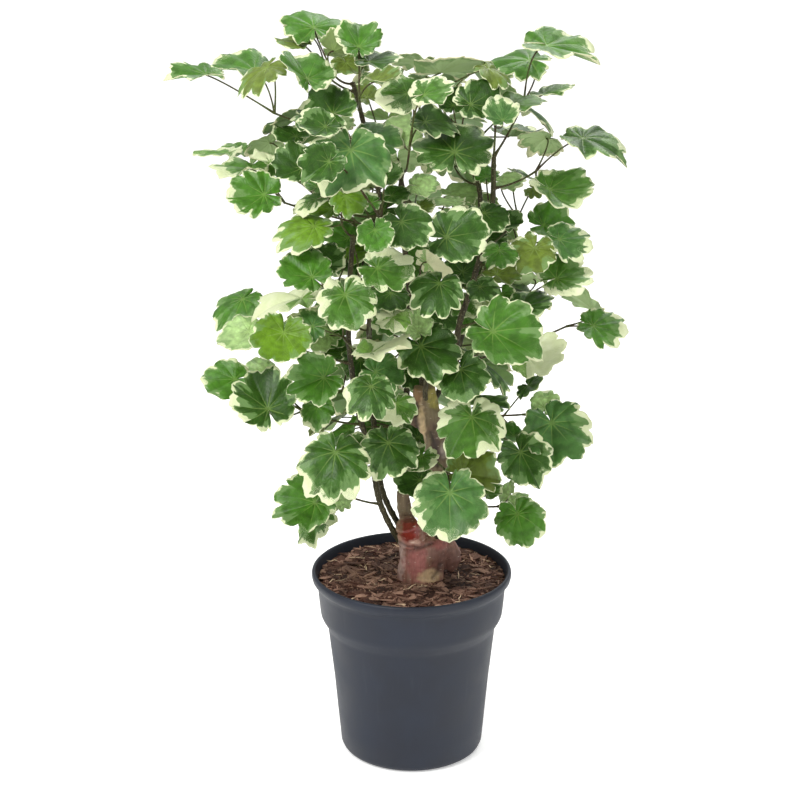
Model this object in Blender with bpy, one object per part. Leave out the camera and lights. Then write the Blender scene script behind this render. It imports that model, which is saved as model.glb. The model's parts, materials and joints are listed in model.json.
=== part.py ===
# Potted balfour aralia: a tapered nursery pot, potting mix, a stump cut back long ago, and
# eight leafy stems whose compound leaves have two to four round leaflets each.
# All sizes are in millimetres and are scaled to metres where meshes are made.
import math
import random

import bmesh
import bpy
from mathutils import Matrix, Vector
from mathutils.bvhtree import BVHTree

MM = 0.001

for old in list(bpy.data.objects):
    bpy.data.objects.remove(old, do_unlink=True)

# Pot
POT_HEIGHT = 202.0
RIM_RADIUS = 105.4
BASE_RADIUS = 70.0
FLOOR = 2.4
ROUND_STEPS = 30
DRAIN_RADIUS = 5.5
DRAIN_CIRCLE = 46.0
DRAIN_COUNT = 4

# Potting mix
SOIL_EDGE_HEIGHT = 192.0
SOIL_MOUND = 0.6
FIT_GAP = 0.35

# Stump
STUMP_X = 12.5
STUMP_Y = -2.0
STUMP_RADIUS = 27.5
STUMP_FOOT = 120.0
STUMP_SIDES = 14

# Leaf blade
BLADE_THICKNESS = 1.0
PETIOLULE_RADIUS = 1.1
PETIOLE_RADIUS = 1.35

# Viewpoint from which the positions of stems and leaflets are given: straight in front of the
# trunk. A position is read on the upright plane through the trunk and then moved along the
# line of sight to its depth.
VIEW_DISTANCE = 1820.0
VIEW_HEIGHT = 964.0

# Stems: x, height and depth of each point of the axis, with the radius there.
STEMS = {
    "left_low": [(-8, 226, -8, 3.4), (-17, 240, -10, 3.3), (-28, 262, -12, 3.1), (-36, 288, -12, 3.0),
                 (-42, 330, -14, 2.9), (-54, 372, -18, 2.9), (-61, 420, -24, 2.8), (-64, 462, -30, 2.7),
                 (-62, 515, -34, 2.6), (-58, 560, -36, 2.5)],
    "left_high": [(-2, 234, 8, 3.2), (-14, 252, 10, 3.1), (-26, 276, 12, 3.0), (-33, 303, 14, 3.0),
                  (-40, 380, 24, 2.9), (-43, 462, 26, 2.8), (-37, 530, 22, 2.7), (-33, 580, 14, 2.6),
                  (-34, 615, 10, 2.5), (-46, 668, 6, 2.4), (-57, 712, 2, 2.2)],
    "middle": [(12, 390, 4, 3.4), (10, 420, 12, 3.2), (2, 470, 24, 3.0), (-5, 530, 30, 2.8),
               (-10, 585, 30, 2.6), (-9, 625, 30, 2.4), (2, 665, 28, 2.2)],
    "right_front": [(22, 326, 2, 3.6), (38, 360, 4, 3.4), (45, 400, 0, 3.2), (47, 460, -8, 3.1),
                    (58, 500, -12, 3.0), (72, 550, -16, 2.8), (80, 585, -18, 2.7), (81, 640, -18, 2.4)],
    "right_back": [(14, 370, 12, 3.2), (34, 410, 32, 3.0), (55, 470, 46, 2.9), (66, 540, 48, 2.8),
                   (68, 600, 46, 2.6), (58, 640, 42, 2.4)],
    "crown": [(15, 384, -8, 2.6), (14, 398, -15, 2.5), (16, 412, -22, 2.4), (22, 424, -30, 2.2)],
    "rear": [(14, 226, 16, 3.4), (10, 260, 28, 3.2), (2, 330, 54, 3.1), (-6, 420, 74, 3.0),
             (-2, 510, 84, 2.8), (4, 590, 82, 2.6)],
    "sprout": [(26, 236, -10, 2.8), (35, 262, -16, 2.7), (43, 295, -18, 2.6), (48, 330, -18, 2.4)],
}

# Forms of a blade, as parts of its diameter: fold along the midrib, dish (edges up) or dome
# (edges down), droop of the tip, height and phase of the waves round the margin.
FORMS = {
    "flat": (0.06, 0.06, 0.12, 0.020, 0.4),
    "cup": (0.10, 0.42, 0.02, 0.022, 1.9),
    "fold": (0.42, 0.02, 0.14, 0.016, 3.1),
    "droop": (0.12, -0.12, 0.46, 0.022, 0.9),
    "wave": (0.10, 0.06, 0.14, 0.050, 2.3),
    "dome": (0.02, -0.42, 0.06, 0.022, 4.0),
}

# Compound leaves: the stem, then each leaflet with x, height and depth of its middle, its
# diameter, the heading of its midrib (0 to the right, 90 up or away, 180 to the left), how far it
# faces the viewpoint (1 fully, 0 edge-on, below 0 from beneath), the lean of its long side, and
# its form; last, where it is in plain view, x and height of the hub where the stalks meet.
LEAVES = [
    ("left_high", [(-210, 720, 0, 56, 180, .27, -3, "flat"), (-163, 726, 30, 64, 150, .36, -3, "flat"),
                   (-147, 721, -25, 54, 215, .40, 20, "dome")], (-134, 682)),
    ("left_high", [(-104, 723, -30, 56, 125, .62, -30, "fold"), (-114, 750, 10, 36, 175, .45, 0, "wave"),
                   (-104, 758, 35, 42, 160, -.30, -18, "flat")]),
    ("left_high", [(-96, 771, 20, 58, 100, .62, 0, "dome"), (-68, 742, 0, 44, -30, -.60, -25, "cup"),
                   (-60, 727, -25, 38, -60, .60, 0, "flat")]),
    ("left_high", [(-51, 753, -10, 46, 90, .80, 0, "fold"), (-33, 732, -35, 46, 0, .40, 0, "flat"),
                   (-29, 713, -60, 40, -25, .32, 5, "cup")]),
    ("middle", [(0, 731, 40, 46, 180, -.22, 0, "flat"), (42, 723, 10, 76, -10, -.24, 3, "wave"),
                (80, 722, -15, 38, -30, .40, -20, "dome")]),
    ("middle", [(-12, 698, -45, 48, 200, .80, 5, "wave"), (20, 702, -70, 44, 10, .65, 10, "flat"),
                (22, 674, -35, 48, 0, .50, 5, "droop"), (-8, 664, -10, 40, 90, .80, 0, "flat")]),
    ("right_back", [(41, 654, -40, 78, 95, .74, 0, "dome"), (41, 694, 20, 32, 90, .80, 0, "flat"),
                    (65, 694, -25, 46, 30, .80, 0, "wave")]),
    ("right_front", [(88, 679, -50, 36, 100, .60, 0, "cup"), (106, 691, -10, 48, 0, .36, -3, "flat"),
                     (88, 706, 15, 36, -40, -.35, -38, "flat")]),
    ("right_front", [(103, 735, 10, 64, 170, .50, -4, "dome"), (144, 745, -15, 74, -4, .30, -8, "flat"),
                     (137, 703, 30, 44, 10, .14, 12, "flat")], (110, 694)),
    ("right_front", [(128, 656, 20, 46, 120, -.36, -12, "dome"), (180, 655, -10, 66, -10, .34, -6, "droop"),
                     (147, 602, -20, 62, -15, .56, -14, "cup")], (123, 625)),
    ("right_front", [(97, 614, 30, 32, 0, .50, 3, "flat"), (110, 619, 55, 34, -20, .16, -25, "flat"),
                     (124, 607, 5, 26, -60, .50, 30, "flat")], (106, 578)),
    ("left_high", [(-156, 601, -20, 54, 180, .85, 0, "wave"), (-169, 627, 15, 56, 175, .17, 2, "flat"),
                   (-190, 642, 45, 48, 180, .22, 4, "flat")], (-126, 602)),
    ("left_high", [(-172, 646, 70, 30, 180, .50, 0, "flat"), (-145, 650, 40, 38, 150, -.55, 10, "dome"),
                   (-145, 634, 0, 30, 200, .40, 0, "cup")]),
    ("left_high", [(-115, 632, -40, 44, 140, .85, 0, "flat"), (-91, 612, -10, 32, 60, .60, 0, "wave"),
                   (-100, 594, -30, 34, 200, .50, 10, "droop")]),
    ("left_high", [(-60, 634, -80, 80, -90, .80, 0, "wave"), (-86, 684, -30, 64, 130, .65, 20, "flat"),
                   (-33, 658, -20, 50, 20, .70, 0, "flat")]),
    ("left_high", [(-91, 666, -55, 42, 210, .70, 0, "cup"), (-70, 669, 0, 30, 80, -.60, 0, "flat")]),
    ("left_low", [(-108, 568, -45, 60, 180, .62, 5, "dome"), (-62, 595, -60, 38, -60, .75, 0, "flat"),
                  (-85, 588, -10, 36, 150, .50, 0, "flat")]),
    ("left_low", [(-107, 523, -60, 54, 135, .80, 0, "wave"), (-89, 533, -30, 46, 60, .75, 0, "flat"),
                  (-124, 494, -30, 70, 185, .30, 2, "droop"), (-62, 548, 24, 46, 80, .80, 0, "flat")]),
    ("left_high", [(-36, 559, -95, 38, -85, .95, 0, "cup"), (-4, 567, -80, 52, -50, .90, 0, "flat"),
                   (-25, 622, -30, 34, 80, .70, 0, "flat")]),
    ("middle", [(-14, 632, -10, 46, 100, -.60, 15, "flat"), (12, 610, -20, 30, 0, .80, 0, "flat"),
                (10, 586, -25, 28, -60, .60, 0, "cup")]),
    ("middle", [(36, 593, 0, 36, 180, .35, 0, "flat"), (50, 602, 30, 42, 20, .40, 0, "flat")]),
    ("right_front", [(46, 560, -70, 62, 10, .90, 0, "wave"), (76, 578, -30, 44, -60, .70, 0, "flat")]),
    ("right_front", [(120, 540, -40, 50, -110, .80, 0, "flat"), (140, 571, 0, 48, 20, .70, -8, "fold"),
                     (156, 553, -20, 48, -10, .75, -10, "wave"), (90, 574, 8, 34, 180, .60, -10, "flat")]),
    ("right_front", [(155, 518, -30, 54, 20, .80, 0, "flat"), (117, 516, 0, 32, 170, -.40, -8, "flat")]),
    ("right_front", [(88, 540, -45, 38, -90, .65, 0, "flat"), (72, 503, -60, 34, -60, .80, 0, "flat"),
                     (58, 522, 0, 46, 60, .80, 0, "flat"), (92, 495, -25, 30, -80, .90, 0, "cup")]),
    ("left_high", [(-25, 523, -85, 56, -25, .75, 0, "wave"), (-22, 496, -55, 42, -100, .60, 0, "flat"),
                   (-18, 471, -75, 36, -90, .70, 0, "flat")]),
    ("middle", [(22, 531, -50, 40, -20, -.50, -28, "flat"), (25, 503, -80, 54, -110, .80, 0, "dome")]),
    ("right_front", [(95, 455, -90, 76, -25, .85, 0, "fold"), (120, 488, -40, 46, 10, .60, 5, "flat"),
                     (127, 431, -60, 58, -30, .75, 0, "cup")]),
    ("right_front", [(193, 464, -10, 50, -10, .75, -5, "wave"), (175, 487, 15, 54, 150, -.28, -30, "flat")],
     (157, 466)),
    ("left_low", [(-178, 488, -10, 54, 200, .65, 25, "dome"), (-173, 456, -35, 52, 200, .70, 15, "wave"),
                  (-132, 449, -80, 62, -100, .90, 0, "cup")]),
    ("left_low", [(-108, 467, -55, 44, 170, .80, 0, "flat"), (-65, 489, -85, 60, -80, .90, 0, "wave"),
                  (-30, 442, -70, 60, 10, .35, 14, "flat"), (-92, 455, 16, 38, 200, .70, 0, "flat")]),
    ("left_low", [(-190, 409, -20, 50, 185, .85, 0, "wave"), (-152, 389, -45, 68, 110, .92, 0, "flat"),
                  (-154, 423, 0, 30, 120, .60, 0, "flat")], (-112, 376)),
    ("left_low", [(-99, 408, -75, 56, 200, .95, 0, "fold")]),
    ("left_low", [(-29, 415, -50, 46, -20, .90, 0, "flat"), (-43, 394, -95, 52, -100, .85, 0, "dome"),
                  (-16, 377, -70, 44, -90, .80, 0, "flat")]),
    ("crown", [(18, 437, -60, 66, -45, .90, 0, "flat"), (52, 411, -70, 56, -80, .90, 0, "wave"),
               (4, 466, -50, 36, 115, .80, 0, "cup")], (22, 425)),
    ("left_low", [(-80, 318, -80, 74, -95, .90, 0, "dome"), (-56, 338, -45, 36, 80, .80, 0, "flat"),
                  (-22, 331, -60, 60, -80, .90, 0, "wave")]),
    ("left_low", [(-112, 272, -40, 64, 195, .90, 0, "fold"), (-99, 251, -15, 52, -110, .58, 60, "flat"),
                  (-72, 278, 5, 26, -60, .70, 50, "flat")], (-76, 288)),
    ("sprout", [(40, 272, -75, 78, -90, .95, 0, "wave"), (63, 307, -45, 56, 0, .80, 0, "fold"),
                (7, 321, -50, 42, -120, .80, 0, "cup")]),
    ("sprout", [(114, 253, -30, 54, -70, .95, 0, "flat"), (113, 275, -5, 26, 60, .80, 0, "flat"),
                (99, 288, 10, 26, 90, .60, 60, "flat")], (90, 280)),
    ("right_front", [(118, 322, -25, 56, -60, .95, 0, "fold"), (62, 357, -60, 70, -90, .90, 0, "wave"),
                     (79, 385, -20, 42, 20, .50, 5, "flat")]),
    ("right_front", [(151, 352, -10, 72, -60, .90, 0, "flat"), (138, 384, 15, 32, 80, .80, 0, "flat")],
     (114, 372)),
    ("sprout", [(2, 300, -25, 40, 180, .90, 0, "flat")]),
]

# Compound leaves on the far side: stem, bearing round the trunk (90 is straight back), reach
# from the trunk and height of the middle leaflet.
FAR_LEAVES = [
    ("rear", 78, 150, 398), ("rear", 122, 140, 470), ("rear", 88, 176, 560), ("rear", 104, 130, 345),
    ("rear", 50, 145, 505), ("right_back", 44, 150, 640), ("left_high", 128, 155, 640),
    ("right_back", 80, 150, 690), ("rear", 148, 128, 540), ("rear", 98, 165, 480), ("left_high", 106, 168, 600),
]
FAR_SEED = 71

# How far the depths of the table are spread, so that the bush is nearly as deep as it is wide.
DEPTH_SPREAD = 1.5


def seen(x, z, depth):
    """Point at a depth behind the plane of reading, on the line of sight through x and z."""
    k = 1.0 + depth / VIEW_DISTANCE
    return Vector((x * k, depth, VIEW_HEIGHT + (z - VIEW_HEIGHT) * k))


def sight_axes(point):
    """Right, up and towards-the-viewer directions at a point."""
    look = (point - Vector((0, -VIEW_DISTANCE, VIEW_HEIGHT))).normalized()
    right = look.cross(Vector((0, 0, 1))).normalized()
    return right, right.cross(look), -look


def blade_axes(point, heading, facing, lean):
    """Across, along and normal directions of a blade from how it is seen."""
    right, up, near = sight_axes(point)
    a = math.radians(lean)
    across = right * math.cos(a) + up * math.sin(a)
    rise = up * math.cos(a) - right * math.sin(a)
    normal = (near * facing + rise * math.sqrt(1 - facing * facing)).normalized()
    other = normal.cross(across)
    h = math.radians(heading)
    along = across * math.cos(h) + other * math.sin(h)
    return along.cross(normal), along, normal


def rim(angle):
    """Radius of the blade's outline from the leaf-stalk point, as a part of its diameter."""
    return 0.18 * math.cos(angle) + math.sqrt(0.25 - (0.18 * math.sin(angle)) ** 2)


def rise_of(form, u, v):
    """Height of the blade over its plane at u across and v along, in parts of its diameter."""
    fold, dish, droop, wave, phase = FORMS[form]
    r2 = u * u + v * v
    angle = math.atan2(u, v)
    h = fold * (math.sqrt(u * u + 0.0016) - 0.04) + dish * r2 - droop * max(v, 0.0) ** 2
    return h + wave * math.sin(3.0 * angle + phase) * r2 * 4.0


# Outline of a blade: bearing from the tip and length as a part of the smooth outline, with the
# tips of the lobes, the notches between them and the cleft at the base.
EDGE = [(0, 1.00), (29, 0.93), (60, 1.05), (90, 0.95), (120, 1.08), (155, 1.06), (180, 0.36),
        (205, 1.06), (240, 1.08), (270, 0.95), (300, 1.05), (331, 0.93)]
RING = [0, 60, 120, 240, 300]
# Faces over the stalk point P, ring points R and edge points E.
P, R, E = 0, 1, 6
COUNT = 18
FACES = [(P, R, R + 1), (P, R + 1, R + 2), (P, R + 3, R + 4), (P, R + 4, R),
         (P, R + 2, E + 5), (R + 2, E + 4, E + 5), (P, E + 5, E + 6), (P, E + 6, E + 7),
         (P, E + 7, R + 3), (R + 3, E + 7, E + 8), (R, E, E + 1), (R, E + 1, R + 1),
         (R + 1, E + 1, E + 2), (R + 1, E + 2, E + 3), (R + 1, E + 3, R + 2), (R + 2, E + 3, E + 4),
         (R, R + 4, E + 11), (R, E + 11, E), (R + 4, E + 10, E + 11), (R + 4, E + 9, E + 10),
         (R + 4, R + 3, E + 9), (R + 3, E + 8, E + 9)]


# A small blade, or one on the far side, has fewer lobes and no ring.
SMALL_SIZE = 51.0
SMALL_EDGE = [(0, 1.00), (45, 1.00), (95, 1.05), (150, 1.06), (180, 0.40), (210, 1.06), (265, 1.05),
              (315, 1.00)]


def blade_points(leaf, grow=1.0):
    """Stalk point, ring and edge of a blade in its own plane, in millimetres."""
    form, size = leaf["form"], leaf["size"]
    flat = [(0.0, 0.0)]
    small = leaf["far"] or size < SMALL_SIZE
    for degrees in [] if small else RING:
        a = math.radians(degrees)
        flat.append((0.56 * rim(a) * math.sin(a), 0.56 * rim(a) * math.cos(a)))
    for degrees, part in SMALL_EDGE if small else EDGE:
        a = math.radians(degrees)
        flat.append((part * grow * rim(a) * math.sin(a), part * grow * rim(a) * math.cos(a)))
    return [Vector((u * size, v * size, rise_of(form, u, v) * size)) for u, v in flat]


def blade_faces(count):
    """Upper faces of a blade with so many points, and the number of its first edge point."""
    if count == COUNT:
        return FACES, E
    return [(0, k, k + 1 if k + 1 < count else 1) for k in range(1, count)], 1


def blade_frame(leaf):
    """Matrix that carries a blade from its own plane to its place."""
    across, along, normal = leaf["axes"]
    m = Matrix((across, along, normal)).transposed().to_4x4()
    m.translation = leaf["stalk"]
    return m


def blade_shell(leaf, thickness, grow):
    """Closed blade without its stalk, used to keep the leaflets clear of one another."""
    m = blade_frame(leaf)
    pts = blade_points(leaf, grow)
    n = len(pts)
    top = [m @ (p + Vector((0, 0, thickness / 2))) for p in pts]
    low = [m @ (p - Vector((0, 0, thickness / 2))) for p in pts]
    above, first = blade_faces(n)
    faces = list(above) + [(a + n, c + n, b + n) for a, b, c in above]
    for k in range(first, n):
        a, b = k, k + 1 if k + 1 < n else first
        faces += [(a, a + n, b), (b, a + n, b + n)]
    return top + low, faces


def section(point, direction, side, radius, sides):
    """Ring of points square to a direction, turned to a side vector."""
    side = (side - direction * side.dot(direction)).normalized()
    low = side.cross(direction)
    out = []
    for k in range(sides):
        a = 2 * math.pi * k / sides
        out.append(point + (low * math.cos(a) + side * math.sin(a)) * radius)
    return out


def tube(path, radii, sides):
    """Closed tube along a path."""
    side = Vector((0.31, 0.95, 0.05))
    pts = []
    for k, point in enumerate(path):
        before, after = path[max(k - 1, 0)], path[min(k + 1, len(path) - 1)]
        pts += section(point, (after - before).normalized(), side, radii[k], sides)
    faces = []
    for k in range(len(path) - 1):
        for j in range(sides):
            a, b = k * sides + j, k * sides + (j + 1) % sides
            faces.append((a, b, b + sides, a + sides))
    faces.append(tuple(range(sides)))
    last = (len(path) - 1) * sides
    faces.append(tuple(last + j for j in reversed(range(sides))))
    return pts, faces


def arc(start, bend, end, steps):
    """Points of a quadratic curve."""
    out = []
    for k in range(steps + 1):
        t = k / steps
        out.append(start * (1 - t) ** 2 + bend * 2 * t * (1 - t) + end * t * t)
    return out


def tree_of(shape):
    return BVHTree.FromPolygons(shape[0], shape[1])


def hits(tree, placed, owner=None):
    """How many placed shapes a shape meets, those of another stem counted tenfold."""
    total = 0
    for other_owner, other in placed:
        if tree.overlap(other):
            total += 1 if other_owner == owner else 10
    return total


def stem_path(name):
    return [seen(x, z, d) for x, z, d, r in STEMS[name]], [r for x, z, d, r in STEMS[name]]


def on_stem(name, height):
    """Point of a stem's axis at a height, or its nearest end."""
    path, radii = stem_path(name)
    low, top = path[1].z, path[-1].z - 1.0
    height = min(max(height, low + 18.0), top)
    for a, b in zip(path, path[1:]):
        if a.z <= height <= b.z:
            return a.lerp(b, (height - a.z) / (b.z - a.z))
    return path[-1]


def make_leaf(middle, axes, size, form, far):
    across, along, normal = axes
    stalk = middle - along * (0.18 * size)
    return {"axes": axes, "stalk": stalk, "size": size, "form": form, "far": far}


def under_base(leaf, drop=4.0):
    """Where the leaflet's stalk comes out from beneath the blade, at the cleft of its base."""
    across, along, normal = leaf["axes"]
    return leaf["stalk"] - along * (0.20 * leaf["size"] + 3.0) - normal * drop


def read_leaves():
    """Leaflets of the table and of the far side, grouped by compound leaf."""
    groups = [(entry[0], entry[1], entry[2] if len(entry) > 2 else None) for entry in LEAVES]
    rng = random.Random(FAR_SEED)
    for stem, bearing, reach, height in FAR_LEAVES:
        group = []
        for k, turn in enumerate((0, 26, -26)):
            a = math.radians(bearing + turn)
            far = reach - (0 if k == 0 else 22) + rng.uniform(-5, 5)
            z = height + (0 if k == 0 else rng.uniform(8, 22))
            size = rng.uniform(52, 66)
            tilt = math.radians(rng.uniform(42, 66) if height < 600 else rng.uniform(58, 80))
            out = Vector((math.cos(a), math.sin(a), 0))
            normal = out * math.cos(tilt) + Vector((0, 0, 1)) * math.sin(tilt)
            along = (out - normal * out.dot(normal)).normalized()
            middle = Vector((far * math.cos(a), far * math.sin(a), z))
            form = rng.choice(["flat", "cup", "wave", "dome", "fold"])
            group.append((middle, (along.cross(normal), along, normal), size, form))
        groups.append((stem, group, None))
    return groups


DEPTH_STEPS = [0, 8, -8, 16, -16, 24, -24, 34, -34, 46, -46, 60, -60]
HUB_STEPS = [(0, 0, 0), (0, 0, -9), (0, 10, 0), (0, -10, 0), (9, 0, -4), (-9, 0, -4), (0, 0, 9),
             (0, 18, -8), (0, -18, -8), (14, 8, -8), (-14, 8, -8), (14, -8, -8), (-14, -8, -8)]
BEND_STEPS = [(0, 0, 0), (0, 16, 0), (0, -16, 0), (14, 0, 0), (-14, 0, 0), (0, 30, -10), (0, -30, -10),
              (24, 0, -14), (-24, 0, -14), (0, 0, 24), (0, 0, -24)]


def old_wood():
    """Axis and radius of the stump's parts: each is a path with radii and a number of sides."""
    def line(*rows):
        return [seen(x, z, d) for x, z, d, r in rows], [r for x, z, d, r in rows]
    trunk = line((18, 214, 2, 15), (24, 250, 2, 13.5), (29, 300, 0, 11.5), (25, 345, 0, 12),
                 (15, 384, 0, 12.5), (13, 402, 0, 11.5))
    knob = line((10, 226, -4, 10), (-1, 243, -16, 12.5), (-6, 252, -22, 11.5))
    side_stub = line((28, 326, 0, 8), (42, 338, -3, 7), (53, 340, -4, 7.5))
    front_stub = line((18, 356, 0, 8), (6, 368, -8, 9), (1, 374, -12, 9))
    low_stub = line((8, 232, 6, 8), (-6, 262, 2, 7.5), (-9, 288, 0, 7))
    return [(trunk, 10), (knob, 9), (side_stub, 7), (front_stub, 7), (low_stub, 7)]


def plan():
    """Places every leaflet and stalk so that the parts of different stems stay clear."""
    placed = []
    for (path, radii), sides in old_wood():
        placed.append(("wood", tree_of(tube(path, [r + 1.0 for r in radii], sides))))
    for name in STEMS:
        path, radii = stem_path(name)
        placed.append((name, tree_of(tube(path, [r + 1.0 for r in radii], 8))))
    fronds = []
    for stem, group, hub in read_leaves():
        leaves = []
        for row in group:
            best = None
            for step in DEPTH_STEPS:
                if len(row) == 8:
                    x, z, depth, size, heading, facing, lean, form = row
                    depth = DEPTH_SPREAD * depth + step
                    middle = seen(x, z, depth)
                    size *= 1 + depth / VIEW_DISTANCE
                    axes = blade_axes(middle, heading, facing, lean)
                    leaf = make_leaf(middle, axes, size, form, False)
                else:
                    middle, axes, size, form = row
                    leaf = make_leaf(middle + Vector((0, 0, 0.7 * step)), axes, size, form, True)
                tree = tree_of(blade_shell(leaf, 3.0, 1.02))
                score = hits(tree, placed, stem)
                if best is None or score < best[0]:
                    best = (score, leaf, tree)
                if score == 0:
                    break
            if best[0] < 10:
                leaves.append(best[1])
                placed.append((stem, best[2]))
        if leaves:
            fronds.append({"stem": stem, "leaves": leaves, "seen_hub": hub})
    for frond in fronds:
        outs = [under_base(leaf) for leaf in frond["leaves"]]
        centre = sum(outs, Vector()) / len(outs)
        stem = frond["stem"]
        root = on_stem(stem, centre.z - 0.70 * (centre - on_stem(stem, centre.z)).length)
        middle = centre.lerp(root, 0.30) + Vector((0, 0, -5))
        if frond["seen_hub"]:
            middle = seen(*frond["seen_hub"], 0.8 * centre.y + 0.2 * root.y)
            root = on_stem(stem, middle.z - 0.35 * (middle - on_stem(stem, middle.z)).length)
        best = None
        others = [item for item in placed if item[0] != stem]
        for hub_step in HUB_STEPS:
            hub = middle + Vector(hub_step)
            stalks = [[leaf["stalk"], out, hub] for leaf, out in zip(frond["leaves"], outs)]
            score = 0
            trees = []
            for path in stalks:
                tree = tree_of(tube([path[1], path[2]], [PETIOLULE_RADIUS + 0.5] * 2, 4))
                score += hits(tree, placed, stem)
                trees.append(tree)
            if best is not None and score >= best[0]:
                continue
            for bend_step in BEND_STEPS:
                bend = root.lerp(hub, 0.55) + Vector((0, 0, -6)) + Vector(bend_step)
                path = arc(root, bend, hub, 3)
                clear = tree_of(tube(path[1:], [PETIOLE_RADIUS + 0.6] * 3, 4))
                foot = tree_of(tube(path[:2], [PETIOLE_RADIUS + 0.6] * 2, 4))
                whole = score + hits(clear, placed, stem) + hits(foot, others)
                if best is None or whole < best[0]:
                    best = (whole, hub, path, trees + [clear])
                if whole == 0:
                    break
            if best[0] == 0:
                break
        frond["score"], frond["hub"], frond["path"] = best[0], best[1], best[2]
        if best[0] < 10:
            for tree in best[3]:
                placed.append((stem, tree))
    return [frond for frond in fronds if frond["score"] < 10]


def leaflet(leaf, way):
    """Closed leaflet: blade and stalk in one skin. The stalk goes along the given points."""
    m = blade_frame(leaf)
    across, along, normal = leaf["axes"]
    pts = blade_points(leaf)
    drop = Vector((0, 0, BLADE_THICKNESS))
    n = len(pts)
    verts = [m @ p for p in pts] + [m @ (p - drop) for p in pts[1:]]
    low = n - 1
    for degrees in (0, 120, 240):
        a = math.radians(degrees)
        u, v = PETIOLULE_RADIUS * math.sin(a), PETIOLULE_RADIUS * math.cos(a)
        h = rise_of(leaf["form"], u / leaf["size"], v / leaf["size"]) * leaf["size"]
        verts.append(m @ Vector((u, v, h - BLADE_THICKNESS)))
    a, b, c = n + low, n + low + 1, n + low + 2
    above, first = blade_faces(n)
    faces = [tuple(t) for t in above]
    for t in above:
        if P not in t:
            faces.append(tuple(reversed([k + low for k in t])))
    if n == COUNT:
        r0, r1, r2, r3, r4 = [R + k + low for k in range(5)]
        e5, e6, e7 = E + 5 + low, E + 6 + low, E + 7 + low
        faces += [(a, r1, r0), (a, b, r1), (b, r2, r1), (b, e5, r2), (b, e6, e5), (b, c, e6),
                  (c, e7, e6), (c, r3, e7), (c, r4, r3), (c, a, r4), (a, r0, r4)]
    else:
        e = [1 + k + low for k in range(8)]
        faces += [(a, e[1], e[0]), (a, b, e[1]), (b, e[2], e[1]), (b, e[3], e[2]), (b, e[4], e[3]),
                  (b, c, e[4]), (c, e[5], e[4]), (c, e[6], e[5]), (c, e[7], e[6]), (c, a, e[7]),
                  (a, e[0], e[7])]
    for k in range(first, n):
        j = k + 1 if k + 1 < n else first
        faces += [(k, k + low, j), (j, k + low, j + low)]
    line = [leaf["stalk"]] + way
    side = across
    for k in range(1, len(line)):
        point = line[k]
        heading = (point - line[k - 1]).normalized()
        if k + 1 < len(line):
            heading = (heading + (line[k + 1] - point).normalized()).normalized()
        side = (side - heading * side.dot(heading)).normalized()
        radius = PETIOLULE_RADIUS if k < 2 else PETIOLE_RADIUS * (1.3 if k == 2 else 1.0)
        verts += section(point, heading, side, radius, 3)
        for j in range(3):
            i, o = a + 3 * (k - 1) + j, a + 3 * (k - 1) + (j + 1) % 3
            faces.append((i, i + 3, o + 3, o))
    end = a + 3 * (len(line) - 1)
    faces.append((end, end + 1, end + 2))
    return verts, faces


def solid(name, shape, smooth=False):
    """Object from points in millimetres and faces, with its normals outwards."""
    mesh = bpy.data.meshes.new(name)
    mesh.from_pydata([v * MM for v in shape[0]], [], shape[1])
    bm = bmesh.new()
    bm.from_mesh(mesh)
    bmesh.ops.triangulate(bm, faces=bm.faces[:])
    bmesh.ops.recalc_face_normals(bm, faces=bm.faces[:])
    for face in bm.faces:
        face.smooth = smooth
    bm.to_mesh(mesh)
    bm.free()
    thing = bpy.data.objects.new(name, mesh)
    bpy.context.scene.collection.objects.link(thing)
    return thing


def combine(target, others, operation):
    """Applies one Boolean of a collection of solids to a solid and removes them."""
    group = bpy.data.collections.new("operands")
    bpy.context.scene.collection.children.link(group)
    for other in others:
        group.objects.link(other)
        bpy.context.scene.collection.objects.unlink(other)
    mod = target.modifiers.new("combine", "BOOLEAN")
    mod.operation = operation
    mod.operand_type = "COLLECTION"
    mod.collection = group
    mod.solver = "MANIFOLD"
    bpy.context.view_layer.update()
    depsgraph = bpy.context.evaluated_depsgraph_get()
    result = bpy.data.meshes.new_from_object(target.evaluated_get(depsgraph))
    target.modifiers.clear()
    target.data = result
    for other in list(group.objects):
        bpy.data.objects.remove(other, do_unlink=True)
    bpy.data.collections.remove(group)


def paint(thing, name, colour, roughness):
    mat = bpy.data.materials.new(name)
    mat.use_nodes = True
    shader = mat.node_tree.nodes["Principled BSDF"]
    shader.inputs["Base Color"].default_value = (*colour, 1)
    shader.inputs["Roughness"].default_value = roughness
    shader.inputs["Metallic"].default_value = 0.0
    thing.data.materials.clear()
    thing.data.materials.append(mat)


def turned(name, profile):
    """Solid of revolution from a profile of radius and height that starts and ends on the axis."""
    mesh = bpy.data.meshes.new(name)
    bm = bmesh.new()
    verts = [bm.verts.new((r * MM, 0, z * MM)) for r, z in profile]
    edges = [bm.edges.new(pair) for pair in zip(verts, verts[1:])]
    bmesh.ops.spin(bm, geom=verts + edges, axis=(0, 0, 1), cent=(0, 0, 0), steps=ROUND_STEPS,
                   angle=2 * math.pi, use_merge=True)
    bmesh.ops.remove_doubles(bm, verts=bm.verts[:], dist=1e-6)
    bmesh.ops.recalc_face_normals(bm, faces=bm.faces[:])
    for face in bm.faces:
        face.smooth = True
    bm.to_mesh(mesh)
    bm.free()
    thing = bpy.data.objects.new(name, mesh)
    bpy.context.scene.collection.objects.link(thing)
    return thing


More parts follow.
